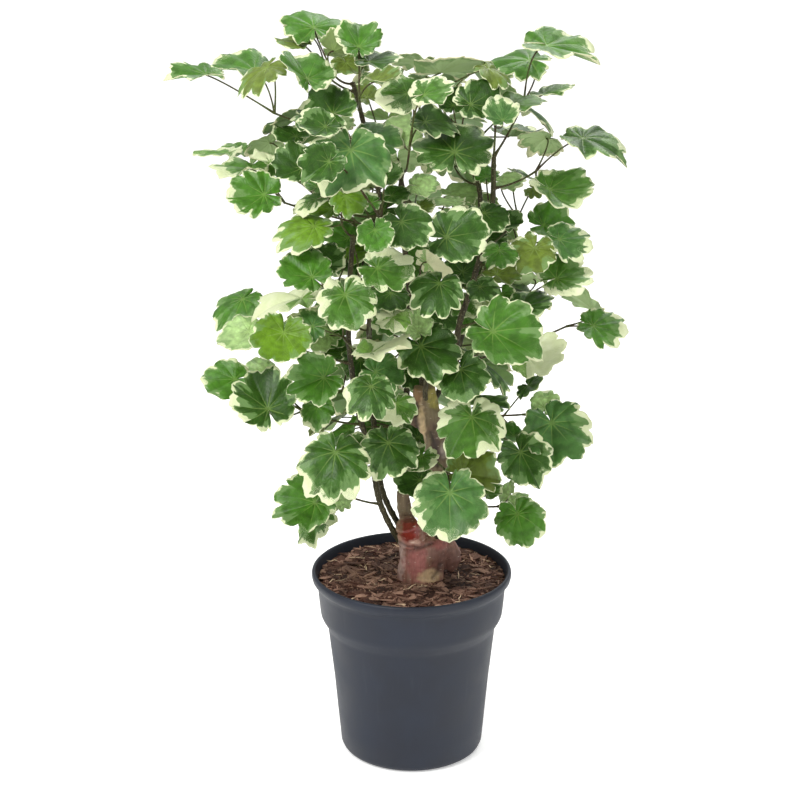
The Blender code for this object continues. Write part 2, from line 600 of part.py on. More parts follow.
# Pot: flat foot, straight taper, shoulder under a wide collar, and a rolled rim.
inside = [(101.0, 200.5), (97.6, 186.0), (94.7, 156.5), (87.1, 142.0), (80.7, 82.0), (74.1, 6.0),
          (72.0, FLOOR)]
pot = turned("pot", [(0, 0), (BASE_RADIUS, 0), (76.0, 5), (82.6, 82), (89.0, 140.5), (96.6, 155.0),
                     (99.4, 186), (103.8, 192), (RIM_RADIUS, 197.5), (103.2, POT_HEIGHT)]
             + inside + [(0, FLOOR)])
drains = []
for k in range(DRAIN_COUNT):
    a = 2 * math.pi * k / DRAIN_COUNT
    at = Vector((DRAIN_CIRCLE * math.cos(a), DRAIN_CIRCLE * math.sin(a), 0))
    path = [at - Vector((0, 0, 6)), at + Vector((0, 0, 10))]
    drains.append(solid("drain", tube(path, [DRAIN_RADIUS] * 2, 10)))
combine(pot, drains, "DIFFERENCE")
paint(pot, "pot_plastic", (0.062, 0.070, 0.090), 0.55)

# Potting mix: fills the pot and mounds slightly, with a plain hole for the stump.
rng = random.Random(5)
crown = [(r, SOIL_EDGE_HEIGHT + SOIL_MOUND * (1 - (r / 98.0) ** 2)) for r in (84.0, 62.0, 42.0)]
under = [(r - FIT_GAP, max(z, FLOOR + FIT_GAP)) for r, z in reversed(inside) if z < SOIL_EDGE_HEIGHT]
part = (SOIL_EDGE_HEIGHT - inside[1][1]) / (inside[0][1] - inside[1][1])
edge = [(inside[1][0] + part * (inside[0][0] - inside[1][0]) - FIT_GAP, SOIL_EDGE_HEIGHT)]
top = [(0, SOIL_EDGE_HEIGHT + SOIL_MOUND)]
soil = turned("soil", [(0, FLOOR + FIT_GAP)] + under + edge + crown + top)
for vert in soil.data.vertices:
    r = math.hypot(vert.co.x, vert.co.y)
    if vert.co.z > SOIL_EDGE_HEIGHT * MM and r < 96 * MM:
        vert.co.z += rng.uniform(-1.6, 1.6) * MM


def stump_rings(swell):
    """Stump with shallow flutes: a straight foot in the soil, a flare at the soil, a rounded top."""
    levels = [(STUMP_FOOT - swell, 0.93), (180, 0.93), (197, 1.0), (214, 0.94), (228, 0.90), (237, 0.78),
              (241, 0.52)]
    pts = []
    for z, part in levels:
        for k in range(STUMP_SIDES):
            a = 2 * math.pi * k / STUMP_SIDES
            r = STUMP_RADIUS * part * (1 + 0.05 * math.cos(3 * a + 0.6) + 0.03 * math.cos(5 * a + 2))
            r += swell
            pts.append(Vector((STUMP_X + r * math.cos(a), STUMP_Y + 0.86 * r * math.sin(a), z)))
    faces = []
    for k in range(len(levels) - 1):
        for j in range(STUMP_SIDES):
            a, b = k * STUMP_SIDES + j, k * STUMP_SIDES + (j + 1) % STUMP_SIDES
            faces.append((a, b, b + STUMP_SIDES, a + STUMP_SIDES))
    faces.append(tuple(reversed(range(STUMP_SIDES))))
    last = (len(levels) - 1) * STUMP_SIDES
    faces.append(tuple(range(last, last + STUMP_SIDES)))
    return pts, faces


combine(soil, [solid("stump_hole", stump_rings(FIT_GAP))], "DIFFERENCE")
paint(soil, "potting_mix", (0.045, 0.026, 0.020), 0.95)

# Stump: the old trunk with its cut-back shoots, and a socket for each leafy stem.
stump = solid("stump", stump_rings(0.0), smooth=True)
branches = [solid("wood", tube(path, radii, sides)) for (path, radii), sides in old_wood()]
combine(stump, branches, "UNION")
sockets = []
for name in STEMS:
    path, radii = stem_path(name)
    first = path[0] - (path[1] - path[0]).normalized() * 0.4
    sockets.append(solid("socket", tube([first] + path[1:3], [r + 0.45 for r in radii[:3]], 8)))
combine(stump, sockets, "DIFFERENCE")
paint(stump, "stump_bark", (0.150, 0.062, 0.048), 0.8)

# Leafy stems: each stem is joined with its compound leaves. The stalk of a compound leaf runs on
# into its first leaflet, and the stalks of the others end inside it at the hub.
FRONDS = plan()
for name in STEMS:
    path, radii = stem_path(name)
    stem = solid("leafy_stem_" + name, tube(path, radii, 6))
    repeats = []
    for frond in FRONDS:
        if frond["stem"] != name:
            continue
        way, hub = frond["path"], frond["hub"]
        for k, leaf in enumerate(frond["leaves"]):
            out = under_base(leaf)
            if k == 0:
                stalk = [out, hub] + way[-2::-1]
            else:
                stalk = [out, hub + (way[-2] - hub).normalized() * 2.2]
            repeats.append(solid("leaflet", leaflet(leaf, stalk)))
    combine(stem, repeats, "UNION")
    paint(stem, "leaf_" + name, (0.070, 0.175, 0.035), 0.4)
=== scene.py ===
# Potted balfour aralia in its nursery pot. Sizes are in millimetres and become metres where a mesh
# is made. Heights are measured from the floor.
import json
import math
import random

import bmesh
import bpy
from mathutils import Matrix, Vector, noise
from mathutils.bvhtree import BVHTree

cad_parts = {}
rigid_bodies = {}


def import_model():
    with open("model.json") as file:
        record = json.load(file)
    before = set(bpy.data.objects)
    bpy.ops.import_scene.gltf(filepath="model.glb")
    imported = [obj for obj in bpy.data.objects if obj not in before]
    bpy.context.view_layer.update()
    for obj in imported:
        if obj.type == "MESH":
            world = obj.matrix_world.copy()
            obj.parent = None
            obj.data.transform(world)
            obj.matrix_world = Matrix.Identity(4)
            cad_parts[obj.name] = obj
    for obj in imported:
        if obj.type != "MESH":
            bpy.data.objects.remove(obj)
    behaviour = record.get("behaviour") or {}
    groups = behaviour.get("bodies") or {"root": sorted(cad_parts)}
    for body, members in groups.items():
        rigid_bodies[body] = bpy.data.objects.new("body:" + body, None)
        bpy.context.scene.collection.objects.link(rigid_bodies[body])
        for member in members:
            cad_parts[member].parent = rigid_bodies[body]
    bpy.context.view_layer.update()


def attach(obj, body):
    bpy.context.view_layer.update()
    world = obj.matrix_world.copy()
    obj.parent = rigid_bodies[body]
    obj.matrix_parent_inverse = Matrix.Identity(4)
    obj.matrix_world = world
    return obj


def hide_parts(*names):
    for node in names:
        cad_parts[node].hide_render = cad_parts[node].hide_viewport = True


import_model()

# Nursery pot: one thin injection-moulded polypropylene pot. A rolled rim and a wide collar stiffen
# it, the wall tapers to a flat foot with four drain holes, and the plastic is matt anthracite.
MM = 0.001
POT_STEPS = 128
POT_OUTSIDE = [(0, 0), (68.0, 0), (71.0, 0.7), (74.2, 3.0), (76.0, 7.0), (78.3, 32.0), (82.6, 82.0),
               (87.9, 130.0), (88.7, 137.4), (89.1, 139.6), (90.1, 141.9), (94.8, 150.2), (96.1, 153.2),
               (96.7, 156.8), (98.0, 170.0), (99.1, 183.4), (99.5, 186.8), (100.9, 189.2), (103.0, 191.0),
               (104.7, 193.4), (105.4, 196.4), (105.4, 198.6), (104.8, 200.8), (103.4, 202.0),
               (102.0, 201.8), (101.1, 200.4)]
POT_INSIDE = [(100.2, 197.0), (97.6, 186.0), (94.9, 158.4), (93.9, 154.8), (88.2, 144.6), (86.9, 140.8),
              (80.7, 82.0), (74.1, 7.0), (72.0, 2.4), (0, 2.4)]
DRAIN_COUNT = 4
DRAIN_CIRCLE = 46.0
DRAIN_RADIUS = 5.5


def linear(colour):
    """Linear colour of an sRGB hex value."""
    parts = [int(colour[k:k + 2], 16) / 255 for k in (1, 3, 5)]
    return tuple(c / 12.92 if c <= 0.04045 else ((c + 0.055) / 1.055) ** 2.4 for c in parts) + (1.0,)


def add(tree, kind, inputs=None, out=None, **settings):
    """Adds a node with its settings, sets or links its inputs, and returns the output asked for."""
    node = tree.nodes.new(kind)
    for name, value in settings.items():
        setattr(node, name, value)
    for name, value in (inputs or {}).items():
        if isinstance(value, bpy.types.NodeSocket):
            tree.links.new(value, node.inputs[name])
        else:
            node.inputs[name].default_value = value
    return node.outputs[out] if out else next(socket for socket in node.outputs if socket.enabled)


def new_material(name):
    """Material with an unset Principled shader: the material, its node tree and the shader's inputs."""
    material = bpy.data.materials.new(name)
    material.use_nodes = True
    return material, material.node_tree, material.node_tree.nodes["Principled BSDF"].inputs


def show(thing):
    bpy.context.scene.collection.objects.link(thing)
    return thing


def turned(name, profile, steps):
    """Solid of revolution from a profile of radius and height that starts and ends on the axis."""
    mesh = bpy.data.meshes.new(name)
    bm = bmesh.new()
    verts = [bm.verts.new((r * MM, 0, z * MM)) for r, z in profile]
    edges = [bm.edges.new(pair) for pair in zip(verts, verts[1:])]
    bmesh.ops.spin(bm, geom=verts + edges, axis=(0, 0, 1), cent=(0, 0, 0), steps=steps,
                   angle=2 * math.pi, use_merge=True)
    bmesh.ops.remove_doubles(bm, verts=bm.verts[:], dist=1e-6)
    bmesh.ops.recalc_face_normals(bm, faces=bm.faces[:])
    for face in bm.faces:
        face.smooth = True
    bm.to_mesh(mesh)
    bm.free()
    return show(bpy.data.objects.new(name, mesh))


def settle(thing):
    """Turns what a piece's modifiers make into its plain mesh, and removes the modifiers."""
    bpy.context.view_layer.update()
    depsgraph = bpy.context.evaluated_depsgraph_get()
    mesh = bpy.data.meshes.new_from_object(thing.evaluated_get(depsgraph))
    thing.modifiers.clear()
    thing.data = mesh


def drop(group):
    """Removes a collection with what is in it."""
    for thing in list(group.objects):
        bpy.data.objects.remove(thing, do_unlink=True)
    bpy.data.collections.remove(group)


def new_group(name):
    group = bpy.data.collections.new(name)
    bpy.context.scene.collection.children.link(group)
    return group


def stands_for(piece, node):
    """The piece rides on the plant's one body and is shown in a node's place."""
    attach(piece, "root")
    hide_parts(node)


pot = turned("nursery_pot", POT_OUTSIDE + POT_INSIDE, POT_STEPS)
drains = new_group("drains")
for k in range(DRAIN_COUNT):
    drain = turned("drain", [(0, -5), (DRAIN_RADIUS, -5), (DRAIN_RADIUS, 8), (0, 8)], 24)
    turn = 2 * math.pi * k / DRAIN_COUNT
    at = Vector((DRAIN_CIRCLE * math.cos(turn), DRAIN_CIRCLE * math.sin(turn), 0)) * MM
    drain.data.transform(Matrix.Translation(at))
    drains.objects.link(drain)
    bpy.context.scene.collection.objects.unlink(drain)
cut = pot.modifiers.new("drains", "BOOLEAN")
cut.operation = "DIFFERENCE"
cut.operand_type = "COLLECTION"
cut.collection = drains
cut.solver = "MANIFOLD"
settle(pot)
drop(drains)

# Moulded polypropylene: the spark-eroded mould leaves a fine grain that spreads the shine, and
# handling and dried water leave it a little paler and duller in soft patches about 40 mm across.
# The real grain is 0.1 mm. It is drawn at 0.6 mm, the finest that shows in the picture.
PLASTIC_DARK, PLASTIC_WORN, PLASTIC_DUST = "#1A1F2B", "#202633", "#3A3E46"
PLASTIC_GRAIN, PLASTIC_PATCH = 0.6, 40.0
polypropylene, tree, shader = new_material("polypropylene_moulded_anthracite")
place = add(tree, "ShaderNodeTexCoord", out="Object")
patches = add(tree, "ShaderNodeTexNoise", {"Vector": place, "Scale": 1 / (PLASTIC_PATCH * MM), "Detail": 4.0})
grain = add(tree, "ShaderNodeTexNoise", {"Vector": place, "Scale": 1 / (PLASTIC_GRAIN * MM), "Detail": 1.0})
drawn_down = add(tree, "ShaderNodeMapping", {"Vector": place, "Scale": (160.0, 160.0, 14.0)})
streaks = add(tree, "ShaderNodeTexNoise", {"Vector": drawn_down, "Scale": 1.0, "Detail": 5.0})
handled = add(tree, "ShaderNodeMapRange", {0: patches, 1: 0.38, 2: 0.70})
dusty = add(tree, "ShaderNodeMapRange", {0: streaks, 1: 0.60, 2: 0.82, 4: 0.20})
wall = add(tree, "ShaderNodeMix", {0: handled, 6: linear(PLASTIC_DARK), 7: linear(PLASTIC_WORN)}, data_type="RGBA")
wall = add(tree, "ShaderNodeMix", {0: dusty, 6: wall, 7: linear(PLASTIC_DUST)}, data_type="RGBA")
tree.links.new(wall, shader["Base Color"])
shine = add(tree, "ShaderNodeMapRange", {0: patches, 1: 0.3, 2: 0.7, 3: 0.44, 4: 0.58})
tree.links.new(shine, shader["Roughness"])
relief = add(tree, "ShaderNodeBump", {"Height": grain, "Strength": 0.35, "Distance": 0.15 * MM})
tree.links.new(relief, shader["Normal"])
shader["IOR"].default_value = 1.49
shader["Specular IOR Level"].default_value = 0.36
pot.data.materials.clear()
pot.data.materials.append(polypropylene)
stands_for(pot, "pot")

# Potting mix: peat and composted bark, filled to a finger's width below the rim and pressed down
# by hand. Its face is all loose bark chips and pale root fibres, which lie where watering left them.
SOIL_TOP = 192.0
SOIL_MOUND = 0.6
WALL_GAP = 0.35
SOIL_STEPS = 112
SOIL_RINGS = [98.0, 97.0, 94.0, 90.0] + [5.0 * k for k in range(17, 1, -1)] + [5.0]
CHIP_SHAPES = 5
# Kinds of litter: how many to a square metre, shortest and longest in millimetres, how far a piece
# may tilt, and the range of its shade from wet and dark (0) to dry and pale (1), or straw (above 1).
LITTER = {"crumbs": (70000.0, 1.8, 4.5, 1.2, 0.05, 0.72),
          "chips": (17000.0, 6.0, 15.0, 0.36, 0.03, 0.90),
          "flakes": (6500.0, 13.0, 23.0, 0.24, 0.02, 1.00),
          "splinters": (12000.0, 9.0, 23.0, 0.30, 0.10, 1.00),
          "straws": (3400.0, 8.0, 22.0, 0.20, 1.20, 1.90)}
LITTER_SEED = 4
# Damp patches of the mix, and a painted shadow on the mix at the stump's right side: x, y and radius.
DAMP_PATCH = 32.0
PAINTED_SHADE_SPOT = (47.0, -20.0, 24.0)


def soil_height(x, y):
    """Height of the potting mix: a slight mound with lumps of 20 and 6 mm, lower at the wall."""
    r = math.hypot(x, y)
    lumps = 2.4 * noise.noise(Vector((x / 22, y / 22, 3.1))) + 1.6 * noise.noise(Vector((x / 7, y / 7, 8.7)))
    return SOIL_TOP + SOIL_MOUND * (1 - (r / 98) ** 2) + lumps - 1.2 * max(0.0, (r - 88) / 10) ** 2


under = [(max(r - WALL_GAP, 0), z + (WALL_GAP if z < 3 else 0)) for r, z in reversed(POT_INSIDE)
         if z < SOIL_TOP]
soil = turned("potting_mix", under + [(98.6, SOIL_TOP - 1.0)] + [(r, SOIL_TOP) for r in SOIL_RINGS]
              + [(0, SOIL_TOP)], SOIL_STEPS)
for vert in soil.data.vertices:
    if vert.co.z > (SOIL_TOP - 0.5) * MM:
        vert.co.z = soil_height(vert.co.x / MM, vert.co.y / MM) * MM
soil.data.update()
top = soil.data.attributes.new("top", "BOOLEAN", "FACE")
top.data.foreach_set("value", [face.center.z > (SOIL_TOP - 6) * MM and face.normal.z > 0.3
                               for face in soil.data.polygons])

rng = random.Random(LITTER_SEED)


def lump(detail, shape, roughness):
    """Rough crumb or flake of length 1 along X, of 20 faces or 80."""
    bm = bmesh.new()
    bmesh.ops.create_icosphere(bm, subdivisions=detail, radius=0.5)
    verts = [Vector((v.co.x * shape[0], v.co.y * shape[1], v.co.z * shape[2])) * (1 + rng.uniform(-1, 1) * roughness)
             for v in bm.verts]
    faces = [tuple(v.index for v in face.verts) for face in bm.faces]
    bm.free()
    return verts, faces


def sliver(width, thickness, bend):
    """Bent and pointed sliver of length 1 along X, of 5 sections with 4 corners each."""
    verts = []
    for j, part in enumerate((0.25, 0.9, 1.0, 0.8, 0.15)):
        middle = Vector(((j - 2) / 4, rng.uniform(-bend, bend), rng.uniform(0, bend)))
        for y, z in ((-1, -1), (1, -1), (1, 1), (-1, 1)):
            verts.append(middle + Vector((0, y * width * part / 2, z * thickness * part / 2)))
    faces = [(4 * j + (i + 1) % 4, 4 * j + 4 + (i + 1) % 4, 4 * j + 4 + i, 4 * j + i) for j in range(4) for i in range(4)]
    return verts, faces + [(0, 1, 2, 3), (19, 18, 17, 16)]


heaps = {}
for kind in LITTER:
    heaps[kind] = new_group(kind)
    for k in range(CHIP_SHAPES):
        if kind == "crumbs":
            verts, faces = lump(1, (1.0, rng.uniform(0.5, 0.9), rng.uniform(0.4, 0.8)), 0.30)
        elif kind in ("chips", "flakes"):
            verts, faces = lump(2, (1.0, rng.uniform(0.30, 0.56), rng.uniform(0.07, 0.14)), 0.15)
        elif kind == "splinters":
            verts, faces = sliver(rng.uniform(0.09, 0.16), rng.uniform(0.04, 0.08), 0.04)
        else:
            verts, faces = sliver(0.055, 0.04, 0.07)
        mesh = bpy.data.meshes.new(kind)
        mesh.from_pydata(verts, [], faces)
        grain = mesh.attributes.new("grain", "FLOAT_VECTOR", "POINT")
        grain.data.foreach_set("vector", [c for v in verts for c in v])
        heaps[kind].objects.link(bpy.data.objects.new("%s_%d" % (kind, k), mesh))


def new_tree(name, sockets):
    """Geometry node tree with one geometry output: the tree and its inputs by name."""
    tree = bpy.data.node_groups.new(name, "GeometryNodeTree")
    for title, kind in sockets:
        tree.interface.new_socket(title, in_out="INPUT", socket_type="NodeSocket" + kind)
    tree.interface.new_socket("Mesh", in_out="OUTPUT", socket_type="NodeSocketGeometry")
    return tree, tree.nodes.new("NodeGroupInput").outputs


def grow(thing, tree, values):
    """Runs a node tree on a piece with the values of its inputs, and keeps the plain mesh."""
    modifier = thing.modifiers.new(tree.name, "NODES")
    modifier.node_group = tree
    for item in tree.interface.items_tree:
        if item.name in values:
            modifier[item.identifier] = values[item.name]
    settle(thing)


LITTER_INPUTS = ("Density", "Shortest", "Longest", "Tilt", "Darkest", "Palest")
sockets = [("Mix", "Geometry"), ("Seed", "Int"), ("Material", "Material")]
for kind in LITTER:
    sockets.append((kind + " Shapes", "Collection"))
    sockets += [(kind + " " + title, "Float") for title in LITTER_INPUTS]
litter, given = new_tree("bark_litter", sockets)
face_up = add(litter, "GeometryNodeInputNamedAttribute", {"Name": "top"}, data_type="BOOLEAN")
both = litter.nodes.new("GeometryNodeJoinGeometry")
litter.links.new(given["Mix"], both.inputs[0])
for number, kind in enumerate(LITTER):
    density, low, high, tilt, dark, pale = [given[kind + " " + title] for title in LITTER_INPUTS]
    seed = add(litter, "FunctionNodeIntegerMath", {0: given["Seed"], 1: 7 * number})
    points = add(litter, "GeometryNodeDistributePointsOnFaces",
                 {"Mesh": given["Mix"], "Selection": face_up, "Density": density, "Seed": seed})
    shape = add(litter, "GeometryNodeCollectionInfo", {0: given[kind + " Shapes"], 1: True, 2: True})
    back = add(litter, "ShaderNodeMath", {0: tilt, 1: -1.0}, operation="MULTIPLY")
    tip = add(litter, "FunctionNodeRandomValue",
              {0: add(litter, "ShaderNodeCombineXYZ", {0: back, 1: back, 2: 0.0}),
               1: add(litter, "ShaderNodeCombineXYZ", {0: tilt, 1: tilt, 2: 2 * math.pi}), "Seed": seed},
              data_type="FLOAT_VECTOR")
    size = add(litter, "FunctionNodeRandomValue", {2: low, 3: high, "Seed": seed}, data_type="FLOAT")
    laid = add(litter, "GeometryNodeInstanceOnPoints",
               {"Points": points, "Instance": shape, "Pick Instance": True,
                "Rotation": add(litter, "FunctionNodeEulerToRotation", {0: tip}), "Scale": size})
    later = add(litter, "FunctionNodeIntegerMath", {0: seed, 1: 3})
    brown = add(litter, "FunctionNodeRandomValue", {2: dark, 3: pale, "Seed": later}, data_type="FLOAT")
    laid = add(litter, "GeometryNodeStoreNamedAttribute", {0: laid, "Name": "shade", "Value": brown},
               domain="INSTANCE", data_type="FLOAT")
    litter.links.new(laid, both.inputs[0])
loose = add(litter, "GeometryNodeRealizeInstances", {0: both.outputs[0]})
loose = add(litter, "GeometryNodeSetMaterial", {0: loose, "Material": given["Material"]})
litter.links.new(loose, litter.nodes.new("NodeGroupOutput").inputs[0])

# Bark and peat: each chip has its own brown, from wet and nearly black to dry and pale, with a
# fibrous grain along it, and the straws are pale. The peat between them has a crumb of 2 mm.
PEAT_DARK, PEAT, CHIP_DARK, CHIP_PALE, STRAW = "#1E110C", "#4A2E24", "#46281E", "#A88370", "#D2B698"
PEAT_CRUMB = 2.0
bark_mix, tree, shader = new_material("composted_bark_and_peat")
place = add(tree, "ShaderNodeTexCoord", out="Object")
shade = add(tree, "ShaderNodeAttribute", out="Fac", attribute_name="shade")
along = add(tree, "ShaderNodeAttribute", out="Vector", attribute_name="grain")
along = add(tree, "ShaderNodeMapping", {"Vector": along, "Scale": (2.2, 30.0, 30.0), "Location":
                                        add(tree, "ShaderNodeCombineXYZ", {0: shade, 1: shade, 2: shade})})
grain = add(tree, "ShaderNodeTexNoise", {"Vector": along, "Scale": 1.0, "Detail": 3.0})
crumb = add(tree, "ShaderNodeTexNoise", {"Vector": place, "Scale": 1 / (PEAT_CRUMB * MM), "Detail": 5.0})
peat = add(tree, "ShaderNodeMix", {0: crumb, 6: linear(PEAT_DARK), 7: linear(PEAT)}, data_type="RGBA")
dry = add(tree, "ShaderNodeMath", {0: shade, 1: 1.8}, operation="POWER")
bark = add(tree, "ShaderNodeMix", {0: dry, 6: linear(CHIP_DARK), 7: linear(CHIP_PALE)}, data_type="RGBA")
bark = add(tree, "ShaderNodeMix", {0: add(tree, "ShaderNodeMapRange", {0: grain, 1: 0.45, 2: 0.72, 4: 0.55}),
                                   6: bark, 7: linear(PEAT_DARK)}, data_type="RGBA")
is_chip = add(tree, "ShaderNodeMath", {0: shade, 1: 0.005}, operation="GREATER_THAN")
is_fibre = add(tree, "ShaderNodeMath", {0: shade, 1: 1.1}, operation="GREATER_THAN")
mix = add(tree, "ShaderNodeMix", {0: is_chip, 6: peat, 7: bark}, data_type="RGBA")
mix = add(tree, "ShaderNodeMix", {0: is_fibre, 6: mix, 7: linear(STRAW)}, data_type="RGBA")
patches = add(tree, "ShaderNodeTexNoise", {"Vector": place, "Scale": 1 / (DAMP_PATCH * MM), "Detail": 3.0})
light = add(tree, "ShaderNodeMapRange", {0: patches, 1: 0.32, 2: 0.62, 3: 0.52, 4: 1.25})
# Painted shadow: the mix is painted down to 30 % of its brightness in a round spot at the stump's right side, under
# the burl.
painted_shade_at = Vector((PAINTED_SHADE_SPOT[0], PAINTED_SHADE_SPOT[1], SOIL_TOP)) * MM
away = add(tree, "ShaderNodeVectorMath", {0: place, 1: painted_shade_at}, out="Value", operation="DISTANCE")
away = add(tree, "ShaderNodeMapRange", {0: away, 1: 0.45 * PAINTED_SHADE_SPOT[2] * MM, 2: PAINTED_SHADE_SPOT[2] * MM, 3: 0.30})
light = add(tree, "ShaderNodeMath", {0: light, 1: away}, operation="MULTIPLY")
mix = add(tree, "ShaderNodeVectorMath", {0: mix, "Scale": light}, operation="SCALE")
tree.links.new(mix, shader["Base Color"])
relief = add(tree, "ShaderNodeBump", {"Height": crumb, "Strength": 0.8, "Distance": 0.6 * MM})
tree.links.new(relief, shader["Normal"])
shader["Roughness"].default_value = 0.85
shader["Specular IOR Level"].default_value = 0.25
values = {"Seed": LITTER_SEED, "Material": bark_mix}
for kind, (density, low, high, tilt, dark, pale) in LITTER.items():
    values[kind + " Shapes"] = heaps[kind]
    for title, value in zip(LITTER_INPUTS, (density, low * MM, high * MM, tilt, dark, pale)):
        values[kind + " " + title] = value
grow(soil, litter, values)
# The bits of bark at the wall lean on it and don't pass through it.
for vert in soil.data.vertices:
    wall_radius = (97.6 + 0.236 * (vert.co.z / MM - 186.0) - WALL_GAP) * MM
    r = math.hypot(vert.co.x, vert.co.y)
    if r > wall_radius and vert.co.z > 180 * MM:
        vert.co.xy = vert.co.xy * (wall_radius / r)
for heap in heaps.values():
    drop(heap)
stands_for(soil, "soil")

# Stump: the old trunk, sawn off and cut back several times. Thin reddish-brown bark with pale pores
# covers it, with grey snags where shoots were cut. The leafy stems grow from its sides and its top.
VIEW_DISTANCE = 1820.0
VIEW_HEIGHT = 964.0
STUMP_X = 12.5
STUMP_Y = -2.0
STUMP_RADIUS = 27.5
STUMP_FLATTENING = 0.86
STUMP_WAIST = 7.0
STUMP_LEVELS = [(120, 0.93), (180, 0.93), (190, 0.97), (197, 1.0), (205, 0.98), (214, 0.94), (228, 0.90),
                (234, 0.84), (238, 0.74), (241, 0.52), (242, 0.25)]
STUMP_SIDES = 56
SKIN_STEP = 1.15


def seen(x, z, depth):
    """Point at a depth behind the plane of reading, on the line of sight through x and z."""
    k = 1.0 + depth / VIEW_DISTANCE
    return Vector((x * k, depth, VIEW_HEIGHT + (z - VIEW_HEIGHT) * k))


def section(point, direction, side, radius, sides):
    """Ring of points square to a direction, turned to a side vector."""
    side = (side - direction * side.dot(direction)).normalized()
    low = side.cross(direction)
    return [point + (low * math.cos(2 * math.pi * k / sides) + side * math.sin(2 * math.pi * k / sides)) * radius
            for k in range(sides)]


def skin(rings):
    """Closed skin over rings of points with equal counts."""
    sides = len(rings[0])
    faces = []
    for k in range(len(rings) - 1):
        for j in range(sides):
            a, b = k * sides + j, k * sides + (j + 1) % sides
            faces.append((a, b, b + sides, a + sides))
    last = (len(rings) - 1) * sides
    ends = [tuple(reversed(range(sides))), tuple(range(last, last + sides))]
    return [point for ring in rings for point in ring], faces + ends


def tube(path, radii, sides):
    """Closed tube along a path."""
    rings = []
    for k, point in enumerate(path):
        before, after = path[max(k - 1, 0)], path[min(k + 1, len(path) - 1)]
        rings.append(section(point, (after - before).normalized(), Vector((0.31, 0.95, 0.05)), radii[k], sides))
    return skin(rings)


def eased(points, radii, step):
    """Points and radii every few millimetres on a smooth curve through the given ones."""
    out = []
    last = len(points) - 1
    for k in range(last):
        a, b, c, d = (points[max(k - 1, 0)], points[k], points[k + 1], points[min(k + 2, last)])
        count = max(int((c - b).length / step), 1)
        for j in range(count):
            t = j / count
            point = 0.5 * ((2 * b) + (c - a) * t + (2 * a - 5 * b + 4 * c - d) * t ** 2
                           + (3 * b - a - 3 * c + d) * t ** 3)
            out.append((point, radii[k] + (radii[k + 1] - radii[k]) * t))
    out.append((points[-1], radii[-1]))
    return [point for point, r in out], [r for point, r in out]


def old_wood():
    """Axis and radius of the stump's parts: each is a path with radii and a number of sides."""
    def line(*rows):
        return [seen(x, z, d) for x, z, d, r in rows], [r for x, z, d, r in rows]
    trunk = line((18, 214, 2, 15), (24, 250, 2, 13.5), (29, 300, 0, 11.5), (25, 345, 0, 12),
                 (15, 384, 0, 12.5), (13, 402, 0, 11.5))
    knob = line((10, 226, -4, 10), (-1, 243, -16, 12.5), (-6, 252, -22, 11.5))
    side_stub = line((28, 326, 0, 8), (42, 338, -3, 7), (53, 340, -4, 7.5))
    front_stub = line((18, 356, 0, 8), (6, 368, -8, 9), (1, 374, -12, 9))
    low_stub = line((8, 232, 6, 8), (-6, 262, 2, 7.5), (-9, 288, 0, 7))
    return [(trunk, 10), (knob, 9), (side_stub, 7), (front_stub, 7), (low_stub, 7)]


def burl():
    """Knotted swelling on the stump's right shoulder, and the ring of bark under the healed knob."""
    swelling = [seen(24, 227, 4), seen(38, 222, 4), seen(42, 212, 3), seen(36, 202, 2)]
    ring = [seen(-12, 240, -12), seen(-11, 231, -20), seen(-3, 226, -25), seen(7, 229, -24), seen(12, 238, -16)]
    return [(swelling, [12, 12.0, 10.5, 7.5]), (ring, [2.6, 3.4, 4.2, 3.8, 3.0])]


def stump_body():
    rings = []
    for z, part in STUMP_LEVELS:
        ring = []
        for k in range(STUMP_SIDES):
            a = 2 * math.pi * k / STUMP_SIDES
            r = STUMP_RADIUS * part * (1 + 0.05 * math.cos(3 * a + 0.6) + 0.03 * math.cos(5 * a + 2))
            r -= STUMP_WAIST * max(math.cos(a), 0) * min(max((224 - z) / 16, 0), 1)
            ring.append(Vector((STUMP_X + r * math.cos(a), STUMP_Y + STUMP_FLATTENING * r * math.sin(a), z)))
        rings.append(ring)
    return skin(rings)


verts, faces = stump_body()
for path, radii in [wood for wood, sides in old_wood()] + burl():
    more, skins = tube(*eased(path, radii, 4.0), 28)
    faces += [tuple(k + len(verts) for k in face) for face in skins]
    verts += more
mesh = bpy.data.meshes.new("stump_wood")
mesh.from_pydata([v * MM for v in verts], [], faces)
stump = show(bpy.data.objects.new("stump_wood", mesh))
fuse = stump.modifiers.new("fuse", "REMESH")
fuse.mode = "VOXEL"
fuse.voxel_size = SKIN_STEP * MM
soften = stump.modifiers.new("soften", "SMOOTH")
soften.factor = 0.6
soften.iterations = 5
settle(stump)

# Grooves and ridges that show from the front, as runs of x and height with a half-width and a depth in millimetres
# (below 0 for a ridge). The grooves also get painted shade in their colour.
CREASES = [([(4, 384), (5, 363), (7, 346)], 2.0, 1.6), ([(19, 352), (25, 336), (27, 316)], 2.4, 2.2),
           ([(13, 390), (10, 357), (9, 336)], 3.4, -0.9), ([(-14, 232), (-5, 226), (9, 224), (22, 230)], 1.8, 1.5),
           ([(30, 206), (28, 198), (23, 190)], 2.6, 0.8), ([(-13, 246), (-15, 237), (-12, 229)], 2.0, -0.6),
           ([(5, 236), (9, 243), (10, 252)], 2.2, -1.0)]
